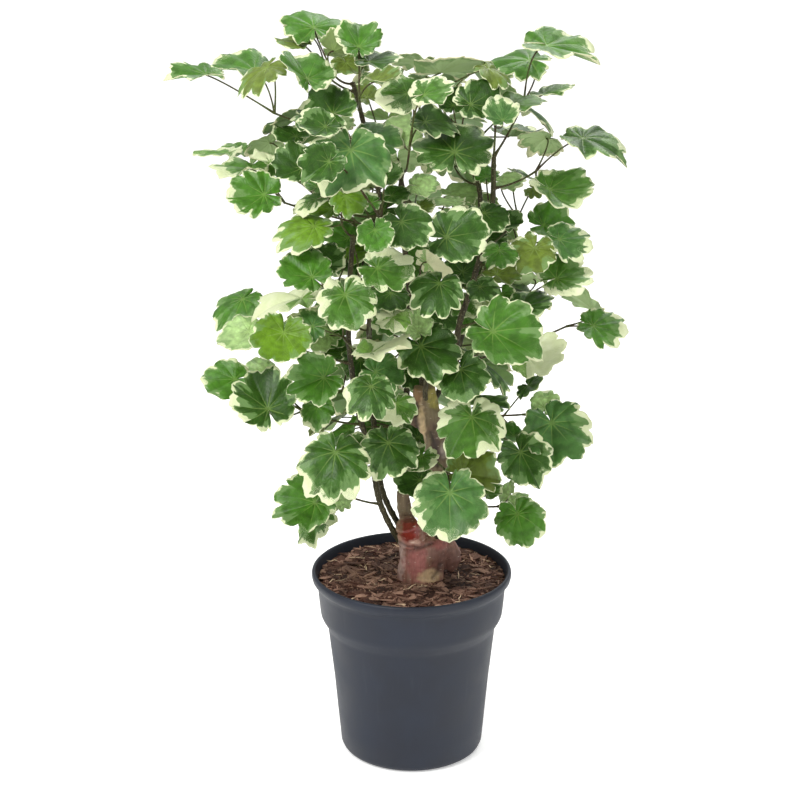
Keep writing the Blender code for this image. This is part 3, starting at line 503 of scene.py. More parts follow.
# Patches of colour on the front, as x, height, half-width, half-height, colour and strength. The pale patches at the
# left edge and under the knob are painted highlights, and the dark strips along two grooves are painted shade.
# The patch at x -12, height 210 is grey bark with a painted highlight on the left edge.
PATCHES = [(-12, 210, 6, 22, "#B59A90", 0.8), (6, 208, 13, 16, "#A0605A", 0.85),
           (20, 192, 12, 9, "#C8AC84", 0.85), (26, 214, 9, 14, "#6A463C", 0.7), (42, 210, 15, 19, "#6A4A40", 0.9),
           # The patch at x -14, height 238 is a painted highlight on the tan bark ring left of the knob.
           (28, 228, 12, 6, "#7C3E38", 0.8), (-14, 238, 4.5, 8, "#9C7A60", 0.7),
           # The pale patch at x 4, height 231 is a painted highlight on the knob's lower lip.
           (-1, 244, 12, 13, "#7A281C", 1.0), (-2, 257, 7, 5, "#55301F", 0.8), (4, 231, 6, 3.0, "#C9A090", 0.8),
           (20, 236, 9, 4, "#7A5A44", 0.7),
           (3, 393, 8, 11, "#7C5A34", 0.8), (24, 390, 9, 14, "#8E8436", 0.85), (10, 357, 4.5, 27, "#C6AC85", 0.9),
           # The dark strips at x 25, height 334 and x 3, height 362 are painted shade in the grooves beside the
           # stubs.
           (41, 334, 14, 9, "#8F8277", 0.9), (25, 334, 5, 24, "#45302A", 0.8), (3, 362, 5, 14, "#54392E", 0.7),
           (24, 280, 14, 34, "#5E4738", 0.75)]
BARK_RED, BARK_BROWN, BARK_GREY = linear("#93564A"), linear("#74503F"), linear("#A58C80")
GLOSSY_KNOB = (-1, 243, 12, 13)
TRUNK_OLIVE = linear("#665C40")
TRUNK_FOOT = (246.0, 268.0)


def distance_to(run, x, z):
    """Distance from a point to a run of straight lines, all in the plane of reading."""
    best = 1e9
    p = Vector((x, z))
    for a, b in zip(run, run[1:]):
        a, b = Vector(a), Vector(b)
        t = min(max((p - a).dot(b - a) / (b - a).length_squared, 0), 1)
        best = min(best, (p - a.lerp(b, t)).length)
    return best


def in_patch(x, z, cx, cz, rx, rz, ragged):
    """How far inside an oval patch with a ragged edge: 1 in the middle, 0 outside."""
    d = math.hypot((x - cx) / rx, (z - cz) / rz) + 0.35 * ragged
    return min(max((1.15 - d) / 0.45, 0), 1)


mesh = stump.data
mesh.attributes.new("tint", "FLOAT_COLOR", "POINT")
mesh.attributes.new("polish", "FLOAT", "POINT")
colours, gloss, moved = [], [], []
for vert in mesh.vertices:
    p = vert.co / MM
    n = vert.normal
    k = 1.0 + p.y / VIEW_DISTANCE
    x, z = p.x / k, VIEW_HEIGHT + (p.z - VIEW_HEIGHT) / k
    front = min(max(0.5 - 1.6 * n.y, 0), 1) if p.y < 20 else 0.0
    wide = noise.noise(p / 13)
    fine = noise.noise(p / 4.2 + Vector((7, 0, 0)))
    ribbed = noise.noise(Vector((p.x / 3.2, p.y / 3.2, p.z / 22)))
    lift = 1.3 * wide + 0.6 * fine + 0.5 * ribbed
    old = min(max(0.5 + 0.9 * wide + 0.3 * fine, 0), 1)
    colour = Vector(BARK_RED[:3]).lerp(Vector(BARK_BROWN[:3]), old)
    colour = colour.lerp(Vector(BARK_GREY[:3]), 0.40 * min(max(0.3 + 0.9 * ribbed, 0), 1))
    olive = min(max((p.z - TRUNK_FOOT[0]) / (TRUNK_FOOT[1] - TRUNK_FOOT[0]), 0), 1)
    colour = colour.lerp(Vector(TRUNK_OLIVE[:3]) * (1 + 0.5 * ribbed + 0.3 * wide), 0.85 * olive)
    for cx, cz, rx, rz, shade, strength in PATCHES:
        inside = in_patch(x, z, cx, cz, rx, rz, fine + wide) * front * strength
        if inside > 0:
            colour = colour.lerp(Vector(linear(shade)[:3]) * (1 + 0.35 * fine), inside)
    for run, width, depth in CREASES:
        cut_in = math.exp(-(distance_to(run, x, z) / width) ** 2) * front
        lift -= depth * cut_in
        # Painted shade: the bark is painted up to 60 % darker in the grooves.
        if depth > 0:
            colour = colour * (1 - 0.6 * cut_in)
    shine = in_patch(x, z, *GLOSSY_KNOB, fine) * front
    lift *= 1 - 0.7 * shine
    colours += [*colour, 1.0]
    gloss.append(shine)
    moved.append((p + n * lift) * MM)
mesh.attributes["tint"].data.foreach_set("color", colours)
mesh.attributes["polish"].data.foreach_set("value", gloss)
mesh.vertices.foreach_set("co", [c for point in moved for c in point])
for face in mesh.polygons:
    face.use_smooth = True

# Thin bark: satin and dry, with fibres that run up the trunk 1.2 mm apart and pale pores that lie
# across it, 3 mm long. The cut knob is healed over and shiny.
FIBRE_GAP, PORE_LENGTH, PORE_HEIGHT = 1.2, 5.0, 1.1
PORE = "#CFBBAA"
thin_bark, tree, shader = new_material("old_bark_thin_reddish")
place = add(tree, "ShaderNodeTexCoord", out="Object")
tint = add(tree, "ShaderNodeAttribute", out="Color", attribute_name="tint")
polish = add(tree, "ShaderNodeAttribute", out="Fac", attribute_name="polish")
upright = add(tree, "ShaderNodeMapping", {"Vector": place, "Scale": (1 / (FIBRE_GAP * MM), 1 / (FIBRE_GAP * MM),
                                                                     0.12 / (FIBRE_GAP * MM))})
fibre = add(tree, "ShaderNodeTexNoise", {"Vector": upright, "Scale": 1.0, "Detail": 3.0})
across = add(tree, "ShaderNodeMapping", {"Vector": place, "Scale": (1 / (PORE_LENGTH * MM), 1 / (PORE_LENGTH * MM),
                                                                    1 / (PORE_HEIGHT * MM))})
pores = add(tree, "ShaderNodeTexNoise", {"Vector": across, "Scale": 1.0, "Detail": 1.0})
pore = add(tree, "ShaderNodeMapRange", {0: pores, 1: 0.69, 2: 0.76, 4: 0.70})
rub = add(tree, "ShaderNodeMapRange", {0: fibre, 1: 0.3, 2: 0.7, 3: 0.86, 4: 1.12})
rub = add(tree, "ShaderNodeVectorMath", {0: tint, "Scale": rub}, operation="SCALE")
surface = add(tree, "ShaderNodeMix", {0: pore, 6: rub, 7: linear(PORE)}, data_type="RGBA")
tree.links.new(surface, shader["Base Color"])
tree.links.new(add(tree, "ShaderNodeMapRange", {0: polish, 3: 0.62, 4: 0.34}), shader["Roughness"])
tree.links.new(add(tree, "ShaderNodeBump", {"Height": fibre, "Strength": 0.7, "Distance": 0.5 * MM}),
               shader["Normal"])
mesh.materials.clear()
mesh.materials.append(thin_bark)
stands_for(stump, "stump")

# Leafy stems: eight woody shoots that sprouted from the stump after it was cut back. Each carries
# compound leaves with two to four round leaflets, whose stalks meet in a hub on one long stalk.
PETIOLULE_RADIUS = 1.1
PETIOLE_RADIUS = 1.35
DEPTH_SPREAD = 1.5

# Stems: x, height and depth of each point of the axis, with the radius there.
STEMS = {
    "left_low": [(-8, 226, -8, 3.4), (-17, 240, -10, 3.3), (-28, 262, -12, 3.1), (-36, 288, -12, 3.0),
                 (-42, 330, -14, 2.9), (-54, 372, -18, 2.9), (-61, 420, -24, 2.8), (-64, 462, -30, 2.7),
                 (-62, 515, -34, 2.6), (-58, 560, -36, 2.5)],
    "left_high": [(-2, 234, 8, 3.2), (-14, 252, 10, 3.1), (-26, 276, 12, 3.0), (-33, 303, 14, 3.0),
                  (-40, 380, 24, 2.9), (-43, 462, 26, 2.8), (-37, 530, 22, 2.7), (-33, 580, 14, 2.6),
                  (-34, 615, 10, 2.5), (-46, 668, 6, 2.4), (-57, 712, 2, 2.2)],
    "middle": [(12, 390, 4, 3.4), (10, 420, 12, 3.2), (2, 470, 24, 3.0), (-5, 530, 30, 2.8),
               (-10, 585, 30, 2.6), (-9, 625, 30, 2.4), (2, 665, 28, 2.2)],
    "right_front": [(22, 326, 2, 3.6), (38, 360, 4, 3.4), (45, 400, 0, 3.2), (47, 460, -8, 3.1),
                    (58, 500, -12, 3.0), (72, 550, -16, 2.8), (80, 585, -18, 2.7), (81, 640, -18, 2.4)],
    "right_back": [(14, 370, 12, 3.2), (34, 410, 32, 3.0), (55, 470, 46, 2.9), (66, 540, 48, 2.8),
                   (68, 600, 46, 2.6), (58, 640, 42, 2.4)],
    "crown": [(15, 384, -8, 2.6), (14, 398, -15, 2.5), (16, 412, -22, 2.4), (22, 424, -30, 2.2)],
    "rear": [(14, 226, 16, 3.4), (10, 260, 28, 3.2), (2, 330, 54, 3.1), (-6, 420, 74, 3.0),
             (-2, 510, 84, 2.8), (4, 590, 82, 2.6)],
    "sprout": [(26, 236, -10, 2.8), (35, 262, -16, 2.7), (43, 295, -18, 2.6), (48, 330, -18, 2.4)],
}

# Forms of a blade, as parts of its diameter: fold along the midrib, dish (edges up) or dome
# (edges down), droop of the tip, height and phase of the waves round the margin.
FORMS = {
    "flat": (0.06, 0.06, 0.12, 0.020, 0.4),
    "cup": (0.10, 0.42, 0.02, 0.022, 1.9),
    "fold": (0.42, 0.02, 0.14, 0.016, 3.1),
    "droop": (0.12, -0.12, 0.46, 0.022, 0.9),
    "wave": (0.10, 0.06, 0.14, 0.050, 2.3),
    "dome": (0.02, -0.42, 0.06, 0.022, 4.0),
}

# Compound leaves: the stem, then each leaflet with x, height and depth of its middle, its
# diameter, the heading of its midrib (0 to the right, 90 up or away, 180 to the left), how far it
# faces the viewpoint (1 fully, 0 edge-on, below 0 from beneath), the lean of its long side, its
# form and its colouring; last, where it is in plain view, x and height of the hub.
LEAVES = [
    ("left_high", [(-210, 720, 0, 56, 180, .27, -3, "flat", "g"), (-163, 726, 30, 64, 150, .36, -3, "flat", "g"),
                   (-147, 721, -25, 54, 215, .40, 20, "dome", "o")], (-134, 682)),
    ("left_high", [(-104, 723, -30, 56, 125, .62, -30, "fold", "g"), (-114, 750, 10, 36, 175, .45, 0, "wave", "o"),
                   (-104, 758, 35, 42, 160, -.30, -18, "flat", "v")]),
    ("left_high", [(-96, 771, 20, 58, 100, .62, 0, "dome", "g"), (-68, 742, 0, 44, -30, -.60, -25, "cup", "o"),
                   (-60, 727, -25, 38, -60, .60, 0, "flat", "o")]),
    ("left_high", [(-51, 753, -10, 46, 90, .80, 0, "fold", "g"), (-33, 732, -35, 46, 0, .40, 0, "flat", "d"),
                   (-29, 713, -60, 40, -25, .32, 5, "cup", "o")]),
    ("middle", [(0, 731, 40, 46, 180, -.22, 0, "flat", "v"), (42, 723, 10, 76, -10, -.24, 3, "wave", "v"),
                (80, 722, -15, 38, -30, .40, -20, "dome", "o")]),
    ("middle", [(-12, 698, -45, 48, 200, .80, 5, "wave", "h"), (20, 702, -70, 44, 10, .65, 10, "flat", "h"),
                (22, 674, -35, 48, 0, .50, 5, "droop", "d"), (-8, 664, -10, 40, 90, .80, 0, "flat", "p")]),
    ("right_back", [(41, 654, -40, 78, 95, .74, 0, "dome", "d"), (41, 694, 20, 32, 90, .80, 0, "flat", "d"),
                    (65, 694, -25, 46, 30, .80, 0, "wave", "d")]),
    ("right_front", [(88, 679, -50, 36, 100, .60, 0, "cup", "b"), (106, 691, -10, 48, 0, .36, -3, "flat", "u"),
                     (88, 706, 15, 36, -40, -.35, -38, "flat", "u")]),
    ("right_front", [(103, 735, 10, 64, 170, .50, -4, "dome", "g"), (144, 745, -15, 74, -4, .30, -8, "flat", "g"),
                     (137, 703, 30, 44, 10, .14, 12, "flat", "u")], (110, 694)),
    ("right_front", [(128, 656, 20, 46, 120, -.36, -12, "dome", "v"), (180, 655, -10, 66, -10, .34, -6, "droop", "d"),
                     (147, 602, -20, 62, -15, .56, -14, "cup", "h")], (123, 625)),
    ("right_front", [(97, 614, 30, 32, 0, .50, 3, "flat", "p"), (110, 619, 55, 34, -20, .16, -25, "flat", "d"),
                     (124, 607, 5, 26, -60, .50, 30, "flat", "o")], (106, 578)),
    ("left_high", [(-156, 601, -20, 54, 180, .85, 0, "wave", "g"), (-169, 627, 15, 56, 175, .17, 2, "flat", "h"),
                   (-190, 642, 45, 48, 180, .22, 4, "flat", "c")], (-126, 602)),
    ("left_high", [(-172, 646, 70, 30, 180, .50, 0, "flat", "u"), (-145, 650, 40, 38, 150, -.55, 10, "dome", "v"),
                   (-145, 634, 0, 30, 200, .40, 0, "cup", "w")]),
    ("left_high", [(-115, 632, -40, 44, 140, .85, 0, "flat", "d"), (-91, 612, -10, 32, 60, .60, 0, "wave", "g"),
                   (-100, 594, -30, 34, 200, .50, 10, "droop", "h")]),
    ("left_high", [(-60, 634, -80, 80, -90, .80, 0, "wave", "b"), (-86, 684, -30, 64, 130, .65, 20, "flat", "d"),
                   (-33, 658, -20, 50, 20, .70, 0, "flat", "b")]),
    ("left_high", [(-91, 666, -55, 42, 210, .70, 0, "cup", "d"), (-70, 669, 0, 30, 80, -.60, 0, "flat", "v")]),
    ("left_low", [(-108, 568, -45, 60, 180, .62, 5, "dome", "y"), (-62, 595, -60, 38, -60, .75, 0, "flat", "y"),
                  (-85, 588, -10, 36, 150, .50, 0, "flat", "y")]),
    ("left_low", [(-107, 523, -60, 54, 135, .80, 0, "wave", "g"), (-89, 533, -30, 46, 60, .75, 0, "flat", "d"),
                  (-124, 494, -30, 70, 185, .30, 2, "droop", "w"), (-62, 548, 24, 46, 80, .80, 0, "flat", "y")]),
    ("left_high", [(-36, 559, -95, 38, -85, .95, 0, "cup", "g"), (-4, 567, -80, 52, -50, .90, 0, "flat", "d"),
                   (-25, 622, -30, 34, 80, .70, 0, "flat", "d")]),
    ("middle", [(-14, 632, -10, 46, 100, -.60, 15, "flat", "v"), (12, 610, -20, 30, 0, .80, 0, "flat", "p"),
                (10, 586, -25, 28, -60, .60, 0, "cup", "o")]),
    ("middle", [(36, 593, 0, 36, 180, .35, 0, "flat", "p"), (50, 602, 30, 42, 20, .40, 0, "flat", "p")]),
    ("right_front", [(46, 560, -70, 62, 10, .90, 0, "wave", "d"), (76, 578, -30, 44, -60, .70, 0, "flat", "d")]),
    ("right_front", [(120, 540, -40, 50, -110, .80, 0, "flat", "o"), (140, 571, 0, 48, 20, .70, -8, "fold", "g"),
                     (156, 553, -20, 48, -10, .75, -10, "wave", "b"), (90, 574, 8, 34, 180, .60, -10, "flat", "g")]),
    ("right_front", [(155, 518, -30, 54, 20, .80, 0, "flat", "h"), (117, 516, 0, 32, 170, -.40, -8, "flat", "v")]),
    ("right_front", [(88, 540, -45, 38, -90, .65, 0, "flat", "g"), (72, 503, -60, 34, -60, .80, 0, "flat", "d"),
                     (58, 522, 0, 46, 60, .80, 0, "flat", "g"), (92, 495, -25, 30, -80, .90, 0, "cup", "g")]),
    ("left_high", [(-25, 523, -85, 56, -25, .75, 0, "wave", "h"), (-22, 496, -55, 42, -100, .60, 0, "flat", "d"),
                   (-18, 471, -75, 36, -90, .70, 0, "flat", "w")]),
    ("middle", [(22, 531, -50, 40, -20, -.50, -28, "flat", "w"), (25, 503, -80, 54, -110, .80, 0, "dome", "d")]),
    ("right_front", [(95, 455, -90, 76, -25, .85, 0, "fold", "g"), (120, 488, -40, 46, 10, .60, 5, "flat", "d"),
                     (127, 431, -60, 58, -30, .75, 0, "cup", "w")]),
    ("right_front", [(193, 464, -10, 50, -10, .75, -5, "wave", "g"), (175, 487, 15, 54, 150, -.28, -30, "flat", "v")],
     (157, 466)),
    ("left_low", [(-178, 488, -10, 54, 200, .65, 25, "dome", "g"), (-173, 456, -35, 52, 200, .70, 15, "wave", "p"),
                  (-132, 449, -80, 62, -100, .90, 0, "cup", "y")]),
    ("left_low", [(-108, 467, -55, 44, 170, .80, 0, "flat", "b"), (-65, 489, -85, 60, -80, .90, 0, "wave", "h"),
                  (-30, 442, -70, 60, 10, .35, 14, "flat", "w"), (-92, 455, 16, 38, 200, .70, 0, "flat", "p")]),
    ("left_low", [(-190, 409, -20, 50, 185, .85, 0, "wave", "g"), (-152, 389, -45, 68, 110, .92, 0, "flat", "d"),
                  (-154, 423, 0, 30, 120, .60, 0, "flat", "p")], (-112, 376)),
    ("left_low", [(-99, 408, -75, 56, 200, .95, 0, "fold", "g")]),
    ("left_low", [(-29, 415, -50, 46, -20, .90, 0, "flat", "b"), (-43, 394, -95, 52, -100, .85, 0, "dome", "d"),
                  (-16, 377, -70, 44, -90, .80, 0, "flat", "c")]),
    ("crown", [(18, 437, -60, 66, -45, .90, 0, "flat", "d"), (52, 411, -70, 56, -80, .90, 0, "wave", "d"),
               (4, 466, -50, 36, 115, .80, 0, "cup", "p")], (22, 425)),
    ("left_low", [(-80, 318, -80, 74, -95, .90, 0, "dome", "d"), (-56, 338, -45, 36, 80, .80, 0, "flat", "d"),
                  (-22, 331, -60, 60, -80, .90, 0, "wave", "d")]),
    ("left_low", [(-112, 272, -40, 64, 195, .90, 0, "fold", "g"), (-99, 251, -15, 52, -110, .58, 60, "flat", "h"),
                  (-72, 278, 5, 26, -60, .70, 50, "flat", "p")], (-76, 288)),
    ("sprout", [(40, 272, -75, 78, -90, .95, 0, "wave", "b"), (63, 307, -45, 56, 0, .80, 0, "fold", "o"),
                (7, 321, -50, 42, -120, .80, 0, "cup", "h")]),
    ("sprout", [(114, 253, -30, 54, -70, .95, 0, "flat", "g"), (113, 275, -5, 26, 60, .80, 0, "flat", "p"),
                (99, 288, 10, 26, 90, .60, 60, "flat", "p")], (90, 280)),
    ("right_front", [(118, 322, -25, 56, -60, .95, 0, "fold", "d"), (62, 357, -60, 70, -90, .90, 0, "wave", "h"),
                     (79, 385, -20, 42, 20, .50, 5, "flat", "d")]),
    ("right_front", [(151, 352, -10, 72, -60, .90, 0, "flat", "b"), (138, 384, 15, 32, 80, .80, 0, "flat", "p")],
     (114, 372)),
    ("sprout", [(2, 300, -25, 40, 180, .90, 0, "flat", "d")]),
]
# Compound leaves on the far side: stem, bearing round the trunk (90 is straight back), reach
# from the trunk and height of the middle leaflet.
FAR_LEAVES = [
    ("rear", 78, 150, 398), ("rear", 122, 140, 470), ("rear", 88, 176, 560), ("rear", 104, 130, 345),
    ("rear", 50, 145, 505), ("right_back", 44, 150, 640), ("left_high", 128, 155, 640),
    ("right_back", 80, 150, 690), ("rear", 148, 128, 540), ("rear", 98, 165, 480), ("left_high", 106, 168, 600),
]
FAR_SEED = 71

# Leaflets in the thick of the bush, which show as a bit of leaf between the others.
INNER_LEAVES = [
    ("left_high", [(-15, 600, -10, 28, 0, .70, 0, "flat", "d"), (-45, 592, -20, 30, 200, .70, 0, "cup", "g")]),
    ("left_low", [(-70, 560, 10, 40, 150, .70, 0, "flat", "g"), (-62, 535, 20, 44, 200, .80, 0, "flat", "d")]),
    ("left_high", [(-55, 565, 30, 36, 180, .70, 0, "wave", "g")]),
    ("right_front", [(55, 528, 25, 44, 60, .80, 0, "flat", "d"), (54, 486, 0, 34, -60, .80, 0, "flat", "h")]),
    ("right_front", [(74, 622, 10, 26, 90, .70, 0, "flat", "g"), (98, 572, 10, 26, 20, .70, 0, "cup", "d")]),
    ("middle", [(-25, 470, 10, 34, 200, .80, 0, "flat", "g"), (22, 462, 20, 30, -30, .80, 0, "flat", "d")]),
    ("left_low", [(-80, 455, 20, 34, 180, .80, 0, "wave", "g")]),
    ("left_high", [(-119, 661, 30, 36, 150, .60, 0, "wave", "d"), (-136, 630, 20, 28, 200, .60, 0, "flat", "u")]),
    ("middle", [(-46, 700, 20, 30, 120, .60, 0, "flat", "o"), (-36, 584, 40, 44, 200, .75, 0, "wave", "d")]),
    ("left_low", [(-140, 506, 0, 44, 170, .55, 0, "droop", "c"), (-133, 425, 30, 40, 190, .75, 0, "flat", "d")]),
    ("right_front", [(92, 523, 10, 42, 40, .70, 0, "wave", "o"), (78, 559, 20, 36, 60, .75, 0, "flat", "d")]),
    ("right_front", [(40, 475, 20, 42, -20, .80, 0, "flat", "d"), (66, 466, 10, 40, 10, .75, 0, "wave", "h")]),
    ("middle", [(8, 533, 20, 44, 90, .80, 0, "flat", "g"), (4, 410, 10, 34, -60, .80, 0, "flat", "d")]),
    ("left_low", [(-52, 424, 10, 40, -90, .85, 0, "fold", "d"), (-30, 360, 10, 44, -100, .80, 0, "flat", "h")]),
    ("left_low", [(-97, 376, -30, 36, -110, .70, 20, "droop", "g"), (-76, 438, 10, 32, 170, .60, 0, "flat", "u")]),
    ("right_front", [(122, 402, 20, 34, -80, .40, 40, "flat", "d"), (100, 348, 10, 32, 190, .70, 0, "cup", "g")]),
    ("sprout", [(6, 352, 5, 36, 100, .80, 0, "flat", "d"), (82, 288, 10, 26, 60, .70, 0, "flat", "u")]),
    ("left_high", [(-88, 630, -104, 46, 215, .85, 0, "fold", "d")]),
]
# Compound leaves between the trunk and the far side, given like the ones above them.
BACK_LEAVES = [
    ("rear", 70, 112, 462), ("rear", 112, 108, 405), ("rear", 132, 104, 585), ("right_back", 30, 112, 588),
    ("right_back", 62, 118, 556), ("left_high", 152, 106, 560), ("rear", 38, 100, 420), ("left_high", 100, 118, 690),
    ("rear", 150, 96, 350), ("rear", 66, 92, 330), ("left_high", 168, 112, 470), ("right_back", 12, 118, 500),
]


def sight_axes(point):
    """Right, up and towards-the-viewer directions at a point."""
    look = (point - Vector((0, -VIEW_DISTANCE, VIEW_HEIGHT))).normalized()
    right = look.cross(Vector((0, 0, 1))).normalized()
    return right, right.cross(look), -look

def blade_axes(point, heading, facing, lean):
    """Across, along and normal directions of a blade from how it is seen."""
    right, up, near = sight_axes(point)
    a = math.radians(lean)
    across = right * math.cos(a) + up * math.sin(a)
    rise = up * math.cos(a) - right * math.sin(a)
    normal = (near * facing + rise * math.sqrt(1 - facing * facing)).normalized()
    other = normal.cross(across)
    h = math.radians(heading)
    along = across * math.cos(h) + other * math.sin(h)
    return along.cross(normal), along, normal

def rim(angle):
    """Radius of the blade's outline from the leaf-stalk point, as a part of its diameter."""
    return 0.18 * math.cos(angle) + math.sqrt(0.25 - (0.18 * math.sin(angle)) ** 2)

def rise_of(form, u, v):
    """Height of the blade over its plane at u across and v along, in parts of its diameter."""
    fold, dish, droop, wave, phase = FORMS[form]
    r2 = u * u + v * v
    angle = math.atan2(u, v)
    h = fold * (math.sqrt(u * u + 0.0016) - 0.04) + dish * r2 - droop * max(v, 0.0) ** 2
    return h + wave * math.sin(3.0 * angle + phase) * r2 * 4.0

# Plain outline of a blade, used to keep the leaflets clear of one another: bearing from the tip
# and length as a part of the smooth outline.
EDGE = [(0, 1.00), (29, 0.93), (60, 1.05), (90, 0.95), (120, 1.08), (155, 1.06), (180, 0.36),
        (205, 1.06), (240, 1.08), (270, 0.95), (300, 1.05), (331, 0.93)]
RING = [0, 60, 120, 240, 300]
# Faces over the stalk point P, ring points R and edge points E.
P, R, E = 0, 1, 6
COUNT = 18
FACES = [(P, R, R + 1), (P, R + 1, R + 2), (P, R + 3, R + 4), (P, R + 4, R),
         (P, R + 2, E + 5), (R + 2, E + 4, E + 5), (P, E + 5, E + 6), (P, E + 6, E + 7),
         (P, E + 7, R + 3), (R + 3, E + 7, E + 8), (R, E, E + 1), (R, E + 1, R + 1),
         (R + 1, E + 1, E + 2), (R + 1, E + 2, E + 3), (R + 1, E + 3, R + 2), (R + 2, E + 3, E + 4),
         (R, R + 4, E + 11), (R, E + 11, E), (R + 4, E + 10, E + 11), (R + 4, E + 9, E + 10),
         (R + 4, R + 3, E + 9), (R + 3, E + 8, E + 9)]
SMALL_SIZE = 51.0
SMALL_EDGE = [(0, 1.00), (45, 1.00), (95, 1.05), (150, 1.06), (180, 0.40), (210, 1.06), (265, 1.05),
              (315, 1.00)]


def blade_points(leaf, grow=1.0):
    """Stalk point, ring and edge of a blade in its own plane, in millimetres."""
    form, size = leaf["form"], leaf["size"]
    flat = [(0.0, 0.0)]
    small = leaf["far"] or size < SMALL_SIZE
    for degrees in [] if small else RING:
        a = math.radians(degrees)
        flat.append((0.56 * rim(a) * math.sin(a), 0.56 * rim(a) * math.cos(a)))
    for degrees, part in SMALL_EDGE if small else EDGE:
        a = math.radians(degrees)
        flat.append((part * grow * rim(a) * math.sin(a), part * grow * rim(a) * math.cos(a)))
    return [Vector((u * size, v * size, rise_of(form, u, v) * size)) for u, v in flat]

def blade_faces(count):
    """Upper faces of a blade with so many points, and the number of its first edge point."""
    if count == COUNT:
        return FACES, E
    return [(0, k, k + 1 if k + 1 < count else 1) for k in range(1, count)], 1

def blade_frame(leaf):
    """Matrix that carries a blade from its own plane to its place."""
    across, along, normal = leaf["axes"]
    m = Matrix((across, along, normal)).transposed().to_4x4()
    m.translation = leaf["stalk"]
    return m

def blade_shell(leaf, thickness, grow):
    """Closed blade without its stalk, used to keep the leaflets clear of one another."""
    m = blade_frame(leaf)
    pts = blade_points(leaf, grow)
    n = len(pts)
    top = [m @ (p + Vector((0, 0, thickness / 2))) for p in pts]
    low = [m @ (p - Vector((0, 0, thickness / 2))) for p in pts]
    above, first = blade_faces(n)
    faces = list(above) + [(a + n, c + n, b + n) for a, b, c in above]
    for k in range(first, n):
        a, b = k, k + 1 if k + 1 < n else first
        faces += [(a, a + n, b), (b, a + n, b + n)]
    return top + low, faces

def arc(start, bend, end, steps):
    """Points of a quadratic curve."""
    out = []
    for k in range(steps + 1):
        t = k / steps
        out.append(start * (1 - t) ** 2 + bend * 2 * t * (1 - t) + end * t * t)
    return out


def tree_of(shape):
    return BVHTree.FromPolygons(shape[0], shape[1])

def hits(tree, placed, owner=None):
    """How many placed shapes a shape meets, those of another stem counted tenfold."""
    total = 0
    for other_owner, other in placed:
        if tree.overlap(other):
            total += 1 if other_owner == owner else 10
    return total

def stem_path(name):
    return [seen(x, z, d) for x, z, d, r in STEMS[name]], [r for x, z, d, r in STEMS[name]]

def on_stem(name, height):
    """Point of a stem's axis at a height, or its nearest end."""
    path, radii = stem_path(name)
    low, top = path[1].z, path[-1].z - 1.0
    height = min(max(height, low + 18.0), top)
    for a, b in zip(path, path[1:]):
        if a.z <= height <= b.z:
            return a.lerp(b, (height - a.z) / (b.z - a.z))
    return path[-1]

def make_leaf(middle, axes, size, form, far, tone):
    across, along, normal = axes
    stalk = middle - along * (0.18 * size)
    return {"axes": axes, "stalk": stalk, "size": size, "form": form, "far": far, "tone": tone}


def under_base(leaf, drop=4.0):
    """Where the leaflet's stalk comes out from beneath the blade, at the cleft of its base."""
    across, along, normal = leaf["axes"]
    return leaf["stalk"] - along * (0.20 * leaf["size"] + 3.0) - normal * drop

def far_leaves(table, seed):
    """Leaflets of the compound leaves on the far side."""
    groups = []
    rng = random.Random(seed)
    tones = random.Random(seed + 1)
    for stem, bearing, reach, height in table:
        group = []
        for k, turn in enumerate((0, 26, -26)):
            a = math.radians(bearing + turn)
            far = reach - (0 if k == 0 else 22) + rng.uniform(-5, 5)
            z = height + (0 if k == 0 else rng.uniform(8, 22))
            size = rng.uniform(52, 66)
            tilt = math.radians(rng.uniform(42, 66) if height < 600 else rng.uniform(58, 80))
            out = Vector((math.cos(a), math.sin(a), 0))
            normal = out * math.cos(tilt) + Vector((0, 0, 1)) * math.sin(tilt)
            along = (out - normal * out.dot(normal)).normalized()
            middle = Vector((far * math.cos(a), far * math.sin(a), z))
            form = rng.choice(["flat", "cup", "wave", "dome", "fold"])
            group.append((middle, (along.cross(normal), along, normal), size, form, tones.choice("gdgyobh")))
        groups.append((stem, group, None))
    return groups


DEPTH_STEPS = [0, 8, -8, 16, -16, 24, -24, 34, -34, 46, -46, 60, -60]
HUB_STEPS = [(0, 0, 0), (0, 0, -9), (0, 10, 0), (0, -10, 0), (9, 0, -4), (-9, 0, -4), (0, 0, 9),
             (0, 18, -8), (0, -18, -8), (14, 8, -8), (-14, 8, -8), (14, -8, -8), (-14, -8, -8)]
BEND_STEPS = [(0, 0, 0), (0, 16, 0), (0, -16, 0), (14, 0, 0), (-14, 0, 0), (0, 30, -10), (0, -30, -10),
              (24, 0, -14), (-24, 0, -14), (0, 0, 24), (0, 0, -24)]


def read_table(table):
    return [(entry[0], entry[1], entry[2] if len(entry) > 2 else None) for entry in table]


